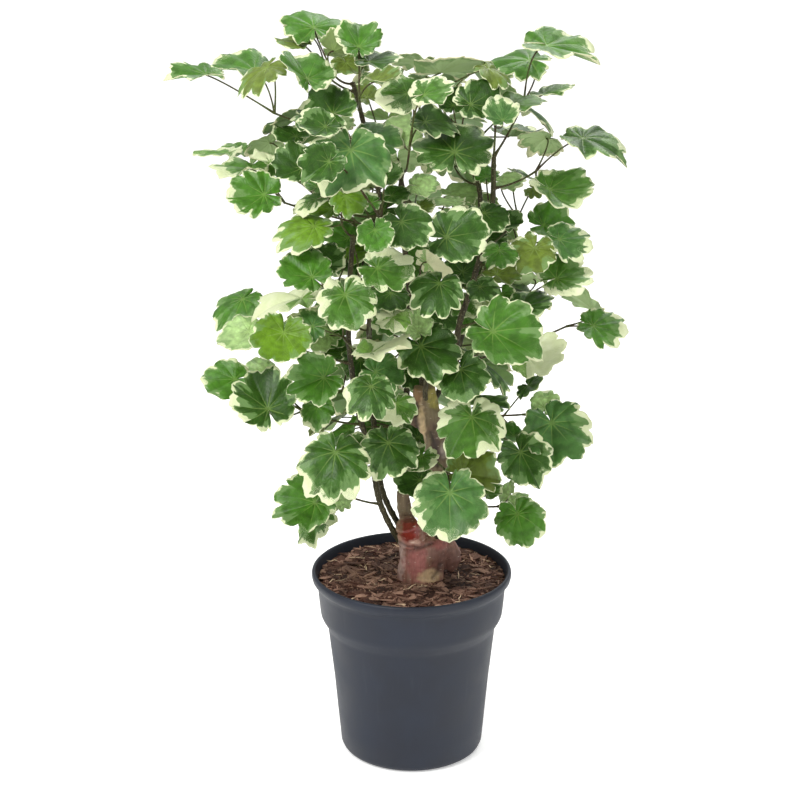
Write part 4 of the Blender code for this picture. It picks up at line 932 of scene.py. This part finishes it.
def plan(groups, placed):
    """Places leaflets and stalks so that the parts of different stems stay clear."""
    fronds = []
    for stem, group, hub in groups:
        leaves = []
        for row in group:
            best = None
            for step in DEPTH_STEPS:
                if len(row) == 9:
                    x, z, depth, size, heading, facing, lean, form, tone = row
                    depth = DEPTH_SPREAD * depth + step
                    middle = seen(x, z, depth)
                    size *= 1 + depth / VIEW_DISTANCE
                    axes = blade_axes(middle, heading, facing, lean)
                    leaf = make_leaf(middle, axes, size, form, False, tone)
                else:
                    middle, axes, size, form, tone = row
                    leaf = make_leaf(middle + Vector((0, 0, 0.7 * step)), axes, size, form, True, tone)
                tree = tree_of(blade_shell(leaf, 3.0, 1.02))
                score = hits(tree, placed, stem)
                if best is None or score < best[0]:
                    best = (score, leaf, tree)
                if score == 0:
                    break
            if best[0] < 10:
                leaves.append(best[1])
                placed.append((stem, best[2]))
        if leaves:
            fronds.append({"stem": stem, "leaves": leaves, "seen_hub": hub})
    for frond in fronds:
        outs = [under_base(leaf) for leaf in frond["leaves"]]
        centre = sum(outs, Vector()) / len(outs)
        stem = frond["stem"]
        root = on_stem(stem, centre.z - 0.70 * (centre - on_stem(stem, centre.z)).length)
        middle = centre.lerp(root, 0.30) + Vector((0, 0, -5))
        if frond["seen_hub"]:
            middle = seen(*frond["seen_hub"], 0.8 * centre.y + 0.2 * root.y)
            root = on_stem(stem, middle.z - 0.35 * (middle - on_stem(stem, middle.z)).length)
        best = None
        others = [item for item in placed if item[0] != stem]
        for hub_step in HUB_STEPS:
            hub = middle + Vector(hub_step)
            stalks = [[leaf["stalk"], out, hub] for leaf, out in zip(frond["leaves"], outs)]
            score = 0
            trees = []
            for path in stalks:
                tree = tree_of(tube([path[1], path[2]], [PETIOLULE_RADIUS + 0.5] * 2, 4))
                score += hits(tree, placed, stem)
                trees.append(tree)
            if best is not None and score >= best[0]:
                continue
            for bend_step in BEND_STEPS:
                bend = root.lerp(hub, 0.55) + Vector((0, 0, -6)) + Vector(bend_step)
                path = arc(root, bend, hub, 3)
                clear = tree_of(tube(path[1:], [PETIOLE_RADIUS + 0.6] * 3, 4))
                foot = tree_of(tube(path[:2], [PETIOLE_RADIUS + 0.6] * 2, 4))
                whole = score + hits(clear, placed, stem) + hits(foot, others)
                if best is None or whole < best[0]:
                    best = (whole, hub, (root, bend), trees + [clear])
                if whole == 0:
                    break
            if best[0] == 0:
                break
        frond["score"], frond["hub"], (frond["root"], frond["bend"]) = best[0], best[1], best[2]
        if best[0] < 10:
            for tree in best[3]:
                placed.append((stem, tree))
    return [frond for frond in fronds if frond["score"] < 10]


placed = []
for (path, radii), sides in old_wood():
    placed.append(("wood", tree_of(tube(path, [r + 1.0 for r in radii], sides))))
for name in STEMS:
    path, radii = stem_path(name)
    placed.append((name, tree_of(tube(path, [r + 1.0 for r in radii], 8))))
fronds = plan(read_table(LEAVES) + far_leaves(FAR_LEAVES, FAR_SEED), placed)
fronds += plan(read_table(INNER_LEAVES) + far_leaves(BACK_LEAVES, FAR_SEED + 2), placed)

# Blades: nine shallow lobes, each at the end of a main vein, with fine teeth between them. The
# tissue swells between the veins, and the margin is frilled. The two kinds of each form differ in
# their lobes, and a small blade is made with fewer faces.
VEIN_ANGLE = 36
BLADE_THICKNESS = 0.45
MEAN_SIZE = 55.0
LOBE = 0.18
TOOTH = 0.036
TEETH_PER_LOBE = 3
CLEFT_WIDTH = 7.0
QUILT = 0.046
FRILL = 0.022
PLEAT = 0.19
WHOLE_RINGS = (0.10, 0.26, 0.44, 0.62, 0.78, 0.91, 1.0)
SMALL_RINGS = (0.14, 0.38, 0.64, 0.86, 1.0)
WHOLE_STEPS, SMALL_STEPS = 90, 60
BLADE_KINDS = 3
WARP = 0.055
SWEEP = 0.16
FORM_NAMES = list(FORMS)


def vein_bearing(angle, t, warps):
    """Bearing among the main veins, which stand unevenly and sweep towards the tip further out."""
    uneven = sum(h * math.sin(n * angle + phase) - h * math.sin(n * math.pi + phase) for n, phase, h in warps)
    return angle + uneven * (1 - abs(angle / math.pi) ** 6) + SWEEP * t * math.sin(angle)


def edge_of(angle, bearing, lobes, teeth):
    """Length of the blade from the stalk point to its edge, in diameters."""
    back = 180 - abs(math.degrees(angle))
    cleft = 1 - 0.90 * math.exp(-(back / CLEFT_WIDTH) ** 2)
    shoulder = 1 + 0.07 * math.exp(-((back - 32) / 20) ** 2)
    lobe = LOBE * lobes[round(math.degrees(bearing) / VEIN_ANGLE) % 10] * (abs(math.cos(5 * bearing)) ** 0.6 - 0.72)
    tooth = TOOTH * teeth * (abs(math.cos(5 * TEETH_PER_LOBE * bearing)) - 0.5)
    return rim(angle) * (1 + lobe + tooth) * shoulder * cleft


def blade_mesh(name, form, kind, rings, steps):
    """Leaflet of diameter 1 with its stalk point at the origin and its tip on +Y, upper side up."""
    rng = random.Random(10 * kind + FORM_NAMES.index(form))
    lobes = [rng.uniform(0.3, 1.5) for k in range(10)]
    frills = [(n, rng.uniform(0, 6.28), rng.uniform(0.4, 1.0)) for n in (5, 8, 11)]
    warps = [(n, rng.uniform(0, 6.28), WARP * rng.uniform(0.5, 1.3)) for n in (1, 2, 3)]
    angles = [2 * math.pi * k / steps for k in range(steps)]
    angles = [a - 2 * math.pi if a > math.pi + 1e-6 else a for a in angles]
    edges = [edge_of(a, vein_bearing(a, 1, warps), lobes, rng.uniform(0.5, 1.5)) for a in angles]
    pleats = [rng.uniform(-PLEAT, PLEAT) for k in range(10)]
    points, spot, vein = [(0, 0, rise_of(form, 0, 0))], [(0, 0, 0)], [(0, 0, 0)]
    for t in rings:
        for a, edge in zip(angles, edges):
            smooth = rim(a) * (1 - 0.90 * math.exp(-((180 - abs(math.degrees(a))) / CLEFT_WIDTH) ** 2))
            r = t * (edge * t ** 2 + smooth * (1 - t ** 2))
            u, v = r * math.sin(a), r * math.cos(a)
            b = vein_bearing(a, t, warps)
            swell = QUILT * abs(math.sin(5 * b)) ** 0.8 * t * (1 - 0.55 * t ** 3)
            frill = FRILL * t ** 3 * sum(h * math.sin(n * a + phase) for n, phase, h in frills)
            part, low = math.modf((b / math.pi + 1) * 5)
            pleat = r * (pleats[int(low) % 10] * (1 - part) + pleats[(int(low) + 1) % 10] * part)
            points.append((u, v, rise_of(form, u, v) + swell + frill + pleat))
            spot.append((u, v, t))
            bearing = math.degrees(b)
            off = math.radians(abs(bearing - VEIN_ANGLE * round(bearing / VEIN_ANGLE)))
            vein.append((r * math.sin(off), r * math.cos(off), b / math.pi))
    half = BLADE_THICKNESS / MEAN_SIZE / 2
    count = len(points)
    verts = [(x, y, z + half) for x, y, z in points] + [(x, y, z - half) for x, y, z in points]
    above = []
    for j in range(steps):
        i = (j + 1) % steps
        above.append((0, 1 + i, 1 + j))
        for k in range(len(rings) - 1):
            a, b = 1 + k * steps + j, 1 + k * steps + i
            above.append((a, b, b + steps, a + steps))
    outer = 1 + (len(rings) - 1) * steps
    faces = above + [tuple(k + count for k in reversed(face)) for face in above]
    faces += [(outer + j, outer + (j + 1) % steps, outer + (j + 1) % steps + count, outer + j + count)
              for j in range(steps)]
    mesh = bpy.data.meshes.new(name)
    mesh.from_pydata(verts, [], faces)
    for title, values in (("spot", spot), ("vein", vein)):
        layer = mesh.attributes.new(title, "FLOAT_VECTOR", "POINT")
        layer.data.foreach_set("vector", [c for value in values * 2 for c in value])
    side = mesh.attributes.new("side", "INT", "FACE")
    side.data.foreach_set("value", [1] * len(above) + [2] * len(above) + [2] * steps)
    mesh.polygons.foreach_set("use_smooth", [True] * len(faces))
    return mesh


blades = new_group("blades")
for small in range(2):
    for form in FORM_NAMES:
        for kind in range(BLADE_KINDS):
            number = (small * len(FORM_NAMES) + FORM_NAMES.index(form)) * BLADE_KINDS + kind
            mesh = blade_mesh("blade", form, kind, SMALL_RINGS if small else WHOLE_RINGS,
                              SMALL_STEPS if small else WHOLE_STEPS)
            blades.objects.link(bpy.data.objects.new("blade_%02d" % number, mesh))

leafy, given = new_tree("leafy_stem", [
    ("Plan", "Geometry"), ("Blades", "Collection"), ("Stalk Sides", "Int"), ("Bark Relief", "Float"),
    ("Bark Grain", "Float"), ("Upper Skin", "Material"), ("Under Skin", "Material"), ("Shoot Bark", "Material")])
is_blade = add(leafy, "GeometryNodeInputNamedAttribute", {"Name": "blade"}, data_type="BOOLEAN")
parted = leafy.nodes.new("GeometryNodeSeparateGeometry")
leafy.links.new(given["Plan"], parted.inputs[0])
leafy.links.new(is_blade, parted.inputs[1])
shapes = add(leafy, "GeometryNodeCollectionInfo", {0: given["Blades"], 1: True, 2: True})
turned_by = add(leafy, "FunctionNodeEulerToRotation",
                {0: add(leafy, "GeometryNodeInputNamedAttribute", {"Name": "turn"}, data_type="FLOAT_VECTOR")})
leaflets = add(leafy, "GeometryNodeInstanceOnPoints",
               {"Points": parted.outputs["Selection"], "Instance": shapes, "Pick Instance": True,
                "Instance Index": add(leafy, "GeometryNodeInputNamedAttribute", {"Name": "kind"}, data_type="INT"),
                "Rotation": turned_by,
                "Scale": add(leafy, "GeometryNodeInputNamedAttribute", {"Name": "size"}, data_type="FLOAT")})
lines = add(leafy, "GeometryNodeMeshToCurve", {0: parted.outputs["Inverted"]})
ring = add(leafy, "GeometryNodeCurvePrimitiveCircle", {"Resolution": given["Stalk Sides"], "Radius": 1.0})
thick = add(leafy, "GeometryNodeInputNamedAttribute", {"Name": "thick"}, data_type="FLOAT")
shoots = add(leafy, "GeometryNodeCurveToMesh", {"Curve": lines, "Profile Curve": ring, "Scale": thick,
                                                "Fill Caps": True})
rough = add(leafy, "ShaderNodeTexNoise", {"Scale": given["Bark Grain"], "Detail": 2.0})
rough = add(leafy, "ShaderNodeMapRange", {0: rough, 1: 0.3, 2: 0.7, 3: -1.0, 4: 1.0}, clamp=False)
age = add(leafy, "GeometryNodeInputNamedAttribute", {"Name": "age"}, data_type="FLOAT")
rough = add(leafy, "ShaderNodeMath", {0: rough, 1: add(leafy, "ShaderNodeMath", {0: age, 1: given["Bark Relief"]},
                                                       operation="MULTIPLY")}, operation="MULTIPLY")
lift = add(leafy, "ShaderNodeVectorMath", {0: add(leafy, "GeometryNodeInputNormal"), "Scale": rough},
           operation="SCALE")
shoots = add(leafy, "GeometryNodeSetPosition", {0: shoots, "Offset": lift})
shoots = add(leafy, "GeometryNodeSetShadeSmooth", {0: shoots})
both = leafy.nodes.new("GeometryNodeJoinGeometry")
for layer in (leaflets, shoots):
    leafy.links.new(layer, both.inputs[0])
whole = add(leafy, "GeometryNodeRealizeInstances", {0: both.outputs[0]})
side = add(leafy, "GeometryNodeInputNamedAttribute", {"Name": "side"}, data_type="INT")
for number, title in enumerate(("Shoot Bark", "Upper Skin", "Under Skin")):
    chosen = add(leafy, "FunctionNodeCompare", {2: side, 3: number}, data_type="INT", operation="EQUAL")
    whole = add(leafy, "GeometryNodeSetMaterial", {0: whole, 1: chosen, 2: given[title]})
leafy.links.new(whole, leafy.nodes.new("NodeGroupOutput").inputs[0])

# Leaf skin: a waxed upper side with a satin shine over a paler, matt underside, whose pale green is partly its own
# and partly painted light shining through the leaf. The green tissue fades through grey-green flecks to a cream
# margin of uneven width, which runs inwards between the veins. The veins are pale and sunken, and the tissue swells
# between the side veins 4 mm apart; painted shade darkens it near the side veins, and each half-sector between the
# main veins is painted a little lighter or darker as painted light and shade of the pleats.
CREAM, CREAM_AGED = "#DFE4C2", "#C9D29E"
VEIN, GREY_GREEN, UNDER_GREEN, UNDER_CREAM = "#8FAA58", "#6E8E54", "#A4BC84", "#D2CCA6"
SIDE_VEIN_GAP = 4.0


def leaf_skin(name, underside):
    material, tree, shader = new_material(name)
    spot = add(tree, "ShaderNodeAttribute", out="Vector", attribute_name="spot")
    vein = add(tree, "ShaderNodeAttribute", out="Vector", attribute_name="vein")
    green = add(tree, "ShaderNodeAttribute", out="Color", attribute_name="green")
    habit = add(tree, "ShaderNodeAttribute", out="Vector", attribute_name="habit")
    reach = add(tree, "ShaderNodeSeparateXYZ", {0: spot}, out="Z")
    parts = add(tree, "ShaderNodeSeparateXYZ", {0: vein}).node.outputs
    off, along, bearing = parts["X"], parts["Y"], parts["Z"]
    parts = add(tree, "ShaderNodeSeparateXYZ", {0: habit}).node.outputs
    cream, seed, lean = parts["X"], parts["Y"], parts["Z"]

    # Main veins taper towards the margin, and side veins leave them in arrowheads.
    width = add(tree, "ShaderNodeMapRange", {0: reach, 3: 0.018, 4: 0.002})
    main = add(tree, "ShaderNodeMath", {0: off, 1: width}, operation="DIVIDE")
    main = add(tree, "ShaderNodeMapRange", {0: main, 1: 0.3, 2: 1.0, 3: 1.0, 4: 0.0})
    arrow = add(tree, "ShaderNodeMath", {0: off, 1: -1.1, 2: along}, operation="MULTIPLY_ADD")
    wander = add(tree, "ShaderNodeTexNoise", {"Vector": spot, "Scale": 9.0, "Detail": 1.0})
    arrow = add(tree, "ShaderNodeMath", {0: wander, 1: 0.10, 2: arrow}, operation="MULTIPLY_ADD")
    arrow = add(tree, "ShaderNodeMath", {0: arrow, 1: MEAN_SIZE / SIDE_VEIN_GAP}, operation="MULTIPLY")
    arrow = add(tree, "ShaderNodeMath", {0: arrow, 1: 0.5}, operation="PINGPONG")
    branch = add(tree, "ShaderNodeMapRange", {0: arrow, 1: 0.03, 2: 0.16, 3: 1.0, 4: 0.0})

    # Where the tissue is cream: how far out it is, pushed in and out by the sector between two
    # veins, by blotches and by a ragged edge.
    ring = add(tree, "ShaderNodeCombineXYZ", {0: add(tree, "ShaderNodeMath", {0: bearing, 1: 9.0},
                                                     operation="MULTIPLY"), 1: reach, 2: seed})
    sector = add(tree, "ShaderNodeTexNoise", {"Vector": ring, "Scale": 1.0, "Detail": 1.0})
    rays = add(tree, "ShaderNodeCombineXYZ", {0: add(tree, "ShaderNodeMath", {0: bearing, 1: 20.0},
                                                     operation="MULTIPLY"),
                                              1: add(tree, "ShaderNodeMath", {0: reach, 1: 3.0},
                                                     operation="MULTIPLY"), 2: seed})
    feather = add(tree, "ShaderNodeTexNoise", {"Vector": rays, "Scale": 1.0, "Detail": 1.5})
    shifted = add(tree, "ShaderNodeVectorMath",
                  {0: spot, 1: add(tree, "ShaderNodeCombineXYZ", {0: seed, 1: seed, 2: seed})}, operation="ADD")
    blotch = add(tree, "ShaderNodeTexNoise", {"Vector": shifted, "Scale": 5.0, "Detail": 1.0})
    ragged = add(tree, "ShaderNodeTexNoise", {"Vector": shifted, "Scale": 22.0, "Detail": 2.0})
    wedge = add(tree, "ShaderNodeMath", {0: add(tree, "ShaderNodeMath", {0: bearing, 1: 10.0}, operation="MULTIPLY")},
                operation="FLOOR")
    wedge = add(tree, "ShaderNodeTexWhiteNoise", {"Vector": add(tree, "ShaderNodeCombineXYZ", {0: wedge, 1: seed})},
                noise_dimensions="2D")
    turned = add(tree, "ShaderNodeMath", {0: bearing, 1: math.pi, 2: lean}, operation="MULTIPLY_ADD")
    one_sided = add(tree, "ShaderNodeMath", {0: turned}, operation="COSINE")
    one_sided = add(tree, "ShaderNodeMath", {0: one_sided, 1: cream}, operation="MULTIPLY")
    depth = reach
    for field, share in ((sector, 0.55), (blotch, 0.40), (feather, 0.16), (one_sided, 0.75)):
        depth = add(tree, "ShaderNodeMath", {0: field, 1: share, 2: depth}, operation="MULTIPLY_ADD")
    deep = add(tree, "ShaderNodeMath", {0: cream, 1: 1.6, 2: 0.06}, operation="MULTIPLY_ADD")
    deep = add(tree, "ShaderNodeMath", {0: add(tree, "ShaderNodeMath", {0: wedge, 1: 0.6}, operation="SUBTRACT"),
                                        1: deep}, operation="MULTIPLY")
    depth = add(tree, "ShaderNodeMath", {0: depth, 1: deep})
    edge = add(tree, "ShaderNodeMath", {0: cream, 1: -0.80, 2: 1.0 + 0.5 * (0.55 + 0.40 + 0.16)},
               operation="MULTIPLY_ADD")
    inside = add(tree, "ShaderNodeMath", {0: depth, 1: edge}, operation="SUBTRACT")
    is_cream = add(tree, "ShaderNodeMapRange", {0: inside, 1: -0.015, 2: 0.015}, interpolation_type="SMOOTHSTEP")
    hem = add(tree, "ShaderNodeMath", {0: feather, 1: 0.22, 2: reach}, operation="MULTIPLY_ADD")
    hem = add(tree, "ShaderNodeMath", {0: blotch, 1: 0.16, 2: hem}, operation="MULTIPLY_ADD")
    hem = add(tree, "ShaderNodeMapRange", {0: hem, 1: 1.155, 2: 1.18})
    is_cream = add(tree, "ShaderNodeMath", {0: is_cream, 1: hem}, operation="MAXIMUM")
    fleck = add(tree, "ShaderNodeMath", {0: feather, 1: 0.40, 2: inside}, operation="MULTIPLY_ADD")
    fleck = add(tree, "ShaderNodeMath", {0: wedge, 1: 0.42, 2: fleck}, operation="MULTIPLY_ADD")
    is_grey = add(tree, "ShaderNodeMapRange", {0: fleck, 1: 0.20, 2: 0.38, 4: 0.75}, interpolation_type="SMOOTHSTEP")

    mottle_and_pleat_shade = add(tree, "ShaderNodeMapRange", {0: blotch, 1: 0.3, 2: 0.7, 3: 0.80, 4: 1.32})
    # Painted light and shade of the pleats: each half-sector between the main veins is painted up to a tenth lighter
    # or darker.
    mottle_and_pleat_shade = add(tree, "ShaderNodeMath", {0: add(tree, "ShaderNodeMapRange", {0: wedge, 3: 0.90, 4: 1.10}),
                                          1: mottle_and_pleat_shade}, operation="MULTIPLY")
    tissue = add(tree, "ShaderNodeVectorMath", {0: green, "Scale": mottle_and_pleat_shade}, operation="SCALE")
    # Painted shade of the swelling: the tissue is painted darker near the side veins and lighter between them.
    swell = add(tree, "ShaderNodeMapRange", {0: arrow, 1: 0.0, 2: 0.5, 3: 0.95, 4: 1.04})
    tissue = add(tree, "ShaderNodeVectorMath", {0: tissue, "Scale": swell}, operation="SCALE")
    old = add(tree, "ShaderNodeMix", {0: blotch, 6: linear(CREAM), 7: linear(CREAM_AGED)}, data_type="RGBA")
    # The underside's pale green and cream are partly their own colour and partly painted light, as if shining through
    # the leaf.
    if underside:
        pale = add(tree, "ShaderNodeAttribute", out="Alpha", attribute_name="green")
        tissue = add(tree, "ShaderNodeMix", {0: pale, 6: tissue, 7: linear(UNDER_GREEN)}, data_type="RGBA")
        old = add(tree, "ShaderNodeMix", {0: 0.6, 6: old, 7: linear(UNDER_CREAM)}, data_type="RGBA")
    skin = add(tree, "ShaderNodeMix", {0: is_grey, 6: tissue, 7: linear(GREY_GREEN)}, data_type="RGBA")
    skin = add(tree, "ShaderNodeMix", {0: is_cream, 6: skin, 7: old}, data_type="RGBA")
    line = add(tree, "ShaderNodeMath", {0: branch, 1: 0.22, 2: main}, operation="MULTIPLY_ADD")
    line = add(tree, "ShaderNodeMath", {0: line, 1: 0.30}, operation="MULTIPLY")
    skin = add(tree, "ShaderNodeMix", {0: line, 6: skin, 7: linear(VEIN)}, data_type="RGBA")
    tree.links.new(skin, shader["Base Color"])

    height = add(tree, "ShaderNodeMath", {0: arrow, 1: 1.0}, operation="MULTIPLY")
    height = add(tree, "ShaderNodeMath", {0: main, 1: -1.0, 2: height}, operation="MULTIPLY_ADD")
    height = add(tree, "ShaderNodeMath", {0: ragged, 1: 0.6, 2: height}, operation="MULTIPLY_ADD")
    relief = add(tree, "ShaderNodeBump", {"Height": height, "Strength": 1.0, "Distance": 0.20 * MM},
                 invert=underside)
    tree.links.new(relief, shader["Normal"])
    shader["Roughness"].default_value = 0.62 if underside else 0.40
    shader["IOR"].default_value = 1.42
    shader["Specular IOR Level"].default_value = 0.32
    return material


upper_skin = leaf_skin("waxed_leaf_upper_side", False)
under_skin = leaf_skin("matt_leaf_underside", True)

# Shoot bark: green and smooth on the leaf stalks, grey-brown and finely cracked on the stems, with pale pores 1 mm
# wide. The stems swell in rings where old leaves fell.
STALK_GREEN, STALK_BROWN, SHOOT_BROWN, SHOOT_GREY, SHOOT_PORE = "#4A5426", "#3C301C", "#221E10", "#48422A", "#8A826A"
shoot_bark, tree, shader = new_material("shoot_bark_young")
place = add(tree, "ShaderNodeTexCoord", out="Object")
age = add(tree, "ShaderNodeAttribute", out="Fac", attribute_name="age")
upright = add(tree, "ShaderNodeMapping", {"Vector": place, "Scale": (700.0, 700.0, 90.0)})
cracks = add(tree, "ShaderNodeTexNoise", {"Vector": upright, "Scale": 1.0, "Detail": 3.0})
patches = add(tree, "ShaderNodeTexNoise", {"Vector": place, "Scale": 70.0, "Detail": 3.0})
dots = add(tree, "ShaderNodeTexNoise", {"Vector": place, "Scale": 900.0, "Detail": 0.0})
young = add(tree, "ShaderNodeMix", {0: add(tree, "ShaderNodeMapRange", {0: patches, 1: 0.4, 2: 0.6}),
                                    6: linear(STALK_GREEN), 7: linear(STALK_BROWN)}, data_type="RGBA")
woody = add(tree, "ShaderNodeMix", {0: add(tree, "ShaderNodeMapRange", {0: cracks, 1: 0.35, 2: 0.65}),
                                    6: linear(SHOOT_BROWN), 7: linear(SHOOT_GREY)}, data_type="RGBA")
bark = add(tree, "ShaderNodeMix", {0: add(tree, "ShaderNodeMapRange", {0: age, 1: 0.25, 2: 0.7}),
                                   6: young, 7: woody}, data_type="RGBA")
bark = add(tree, "ShaderNodeMix", {0: add(tree, "ShaderNodeMapRange", {0: dots, 1: 0.70, 2: 0.74, 4: 0.7}),
                                   6: bark, 7: linear(SHOOT_PORE)}, data_type="RGBA")
tree.links.new(bark, shader["Base Color"])
relief = add(tree, "ShaderNodeBump", {"Height": cracks, "Strength": 0.6, "Distance": 0.3 * MM})
tree.links.new(relief, shader["Normal"])
shader["Roughness"].default_value = 0.62
shader["Specular IOR Level"].default_value = 0.25

# Colouring of a leaflet: its green, how much of it is cream, how much that may vary, and how far its underside pales.
# The pale tone p is painted light on leaflets that lie in shade, and the dark tone d is partly the leaf's own darker
# green and partly painted shade.
TONES = {"g": ("#406E1C", 0.05, 0.06, 0.40), "d": ("#2C4E12", 0.03, 0.06, 0.35),
         "b": ("#41692F", 0.12, 0.05, 0.40), "y": ("#5C801C", 0.00, 0.05, 0.40),
         "o": ("#5E7028", 0.03, 0.05, 0.30), "u": ("#42681E", 0.03, 0.05, 0.45),
         "h": ("#40691E", 0.26, 0.08, 0.40), "c": ("#507A2A", 0.60, 0.10, 0.40),
         "w": ("#6E9440", 1.10, 0.05, 0.40), "p": ("#A2C07C", 0.04, 0.04, 0.40),
         "v": ("#42681E", 0.05, 0.04, 1.00)}
STEP_ON_STEM = 2.5
NODE_GAP = 13.0
STALK_STEPS = 12
LINE_LAYERS = (("thick", "FLOAT", "value"), ("age", "FLOAT", "value"), ("blade", "BOOLEAN", "value"),
               ("turn", "FLOAT_VECTOR", "vector"), ("size", "FLOAT", "value"), ("kind", "INT", "value"),
               ("green", "FLOAT_COLOR", "color"), ("habit", "FLOAT_VECTOR", "vector"))
BLANK = {"thick": 0.0, "age": 0.0, "blade": False, "turn": (0, 0, 0), "size": 1.0, "kind": 0,
         "green": (0, 0, 0, 1), "habit": (0, 0, 0)}


def lay_line(rows, edges, points, radii, ages):
    """Adds a stalk or stem as a run of points."""
    for k, (point, radius, age) in enumerate(zip(points, radii, ages)):
        if k:
            edges.append((len(rows) - 1, len(rows)))
        rows.append(dict(BLANK, at=point, thick=radius * MM, age=age))


def knotted(radius, way):
    """Radius of a stem at a distance along it, swollen at the leaf scars."""
    return radius * (1 + 0.13 * math.exp(-((way % NODE_GAP - NODE_GAP / 2) / 1.6) ** 2))


def stalk_radii(low, high, foot):
    """Radii of a stalk that flares where it clasps the stem."""
    out = []
    for k in range(STALK_STEPS + 1):
        t = k / STALK_STEPS
        out.append(low + (high - low) * t + foot * math.exp(-(t / 0.09) ** 2))
    return out


rng = random.Random(23)
for name in STEMS:
    rows, edges = [], []
    path, radii = stem_path(name)
    points, thick = eased(path, radii, STEP_ON_STEM)
    way = [k * STEP_ON_STEM for k in range(len(points))]
    thick = [knotted(r, w) for r, w in zip(thick, way)]
    ages = [1.0 - 0.45 * k / len(points) for k in range(len(points))]
    lay_line(rows, edges, points, thick, ages)
    for frond in fronds:
        if frond["stem"] != name:
            continue
        hub = frond["hub"]
        lay_line(rows, edges, arc(frond["root"], frond["bend"], hub, STALK_STEPS),
                 stalk_radii(1.15, 1.05, 1.3),
                 [0.45 - 0.2 * k / STALK_STEPS for k in range(STALK_STEPS + 1)])
        for leaf in frond["leaves"]:
            across, along, normal = leaf["axes"]
            end = leaf["stalk"] - normal * 0.6
            lay_line(rows, edges, arc(hub, under_base(leaf), end, STALK_STEPS),
                     stalk_radii(0.85, 0.75, 0.5),
                     [0.2 - 0.2 * k / STALK_STEPS for k in range(STALK_STEPS + 1)])
            hexa, share, vary, pale = TONES[leaf["tone"]]
            bright = 1 + rng.uniform(-0.12, 0.12)
            small = leaf["size"] < SMALL_SIZE
            number = (small * len(FORM_NAMES) + FORM_NAMES.index(leaf["form"])) * BLADE_KINDS + rng.randrange(BLADE_KINDS)
            rows.append(dict(BLANK, at=leaf["stalk"], blade=True, kind=number, size=leaf["size"] * MM,
                             turn=blade_frame(leaf).to_euler(),
                             green=[c * bright for c in linear(hexa)[:3]] + [pale],
                             habit=(share + rng.uniform(-vary, vary), rng.uniform(0, 40),
                                    rng.uniform(-3.1, 3.1))))
    mesh = bpy.data.meshes.new("stem_" + name)
    mesh.from_pydata([row["at"] * MM for row in rows], edges, [])
    for title, kind, field in LINE_LAYERS:
        layer = mesh.attributes.new(title, kind, "POINT")
        values = [row[title] for row in rows]
        if field != "value":
            values = [c for value in values for c in value]
        layer.data.foreach_set(field, values)
    piece = show(bpy.data.objects.new("stem_" + name, mesh))
    grow(piece, leafy, {"Blades": blades, "Stalk Sides": 9, "Bark Relief": 0.35 * MM, "Bark Grain": 380.0,
                        "Upper Skin": upper_skin, "Under Skin": under_skin, "Shoot Bark": shoot_bark})
    stands_for(piece, "leafy_stem_" + name)
drop(blades)

# Studio: a pale paper floor under large soft lamps in a bright room, and a camera in front of the
# plant that looks down by some 18 degrees.
VIEW_TILT = 17.57
LENS = 83.7
LENS_SHIFT = -0.0144
FLOOR_REACH = 40.0
LAMPS = {"lamp_high_left": ((-1.4, -1.3, 2.2), (0.9, 0.9), 44),
         "lamp_front_right": ((1.7, -1.9, 1.0), (0.9, 1.3), 12),
         "lamp_behind": ((0.6, 1.5, 2.0), (1.2, 0.8), 16)}
LAMP_AIM = (0, 0, 0.45)
ROOM_LIGHT_LOW, ROOM_LIGHT_HIGH = 0.36, 1.18
PAPER_GLOW = 0.32

paper, tree, shader = new_material("paper_matt")
shader["Base Color"].default_value = linear("#F6F6F4")
shader["Roughness"].default_value = 0.9
shader["Emission Color"].default_value = linear("#FFFFFF")
shader["Emission Strength"].default_value = PAPER_GLOW
mesh = bpy.data.meshes.new("floor")
mesh.from_pydata([(x * FLOOR_REACH, y * FLOOR_REACH, 0) for x, y in ((-1, -1), (1, -1), (1, 1), (-1, 1))],
                 [], [(0, 1, 2, 3)])
mesh.materials.append(paper)
show(bpy.data.objects.new("floor_paper", mesh))

for name, (place, size, power) in LAMPS.items():
    light = bpy.data.lights.new(name, "AREA")
    light.shape = "RECTANGLE"
    light.size, light.size_y = size
    light.energy = power
    lamp = show(bpy.data.objects.new(name, light))
    lamp.location = place
    lamp.rotation_euler = (Vector(LAMP_AIM) - Vector(place)).to_track_quat("-Z", "Y").to_euler()
room = bpy.data.worlds.new("bright_room")
room.use_nodes = True
tree = room.node_tree
height = add(tree, "ShaderNodeSeparateXYZ", {0: add(tree, "ShaderNodeTexCoord", out="Generated")}, out="Z")
height = add(tree, "ShaderNodeMapRange", {0: height, 3: ROOM_LIGHT_LOW, 4: ROOM_LIGHT_HIGH})
tree.links.new(height, tree.nodes["Background"].inputs["Strength"])
tree.nodes["Background"].inputs["Color"].default_value = linear("#FFFFFF")
bpy.context.scene.world = room
bpy.context.scene.view_settings.view_transform = "Standard"

lens = bpy.data.cameras.new("camera")
lens.sensor_width = 36.0
lens.lens = LENS
lens.shift_x = LENS_SHIFT
camera = show(bpy.data.objects.new("camera", lens))
camera.location = (0, -VIEW_DISTANCE * MM, VIEW_HEIGHT * MM)
camera.rotation_euler = (math.radians(90 - VIEW_TILT), 0, 0)
bpy.context.scene.camera = camera

bpy.context.view_layer.update()
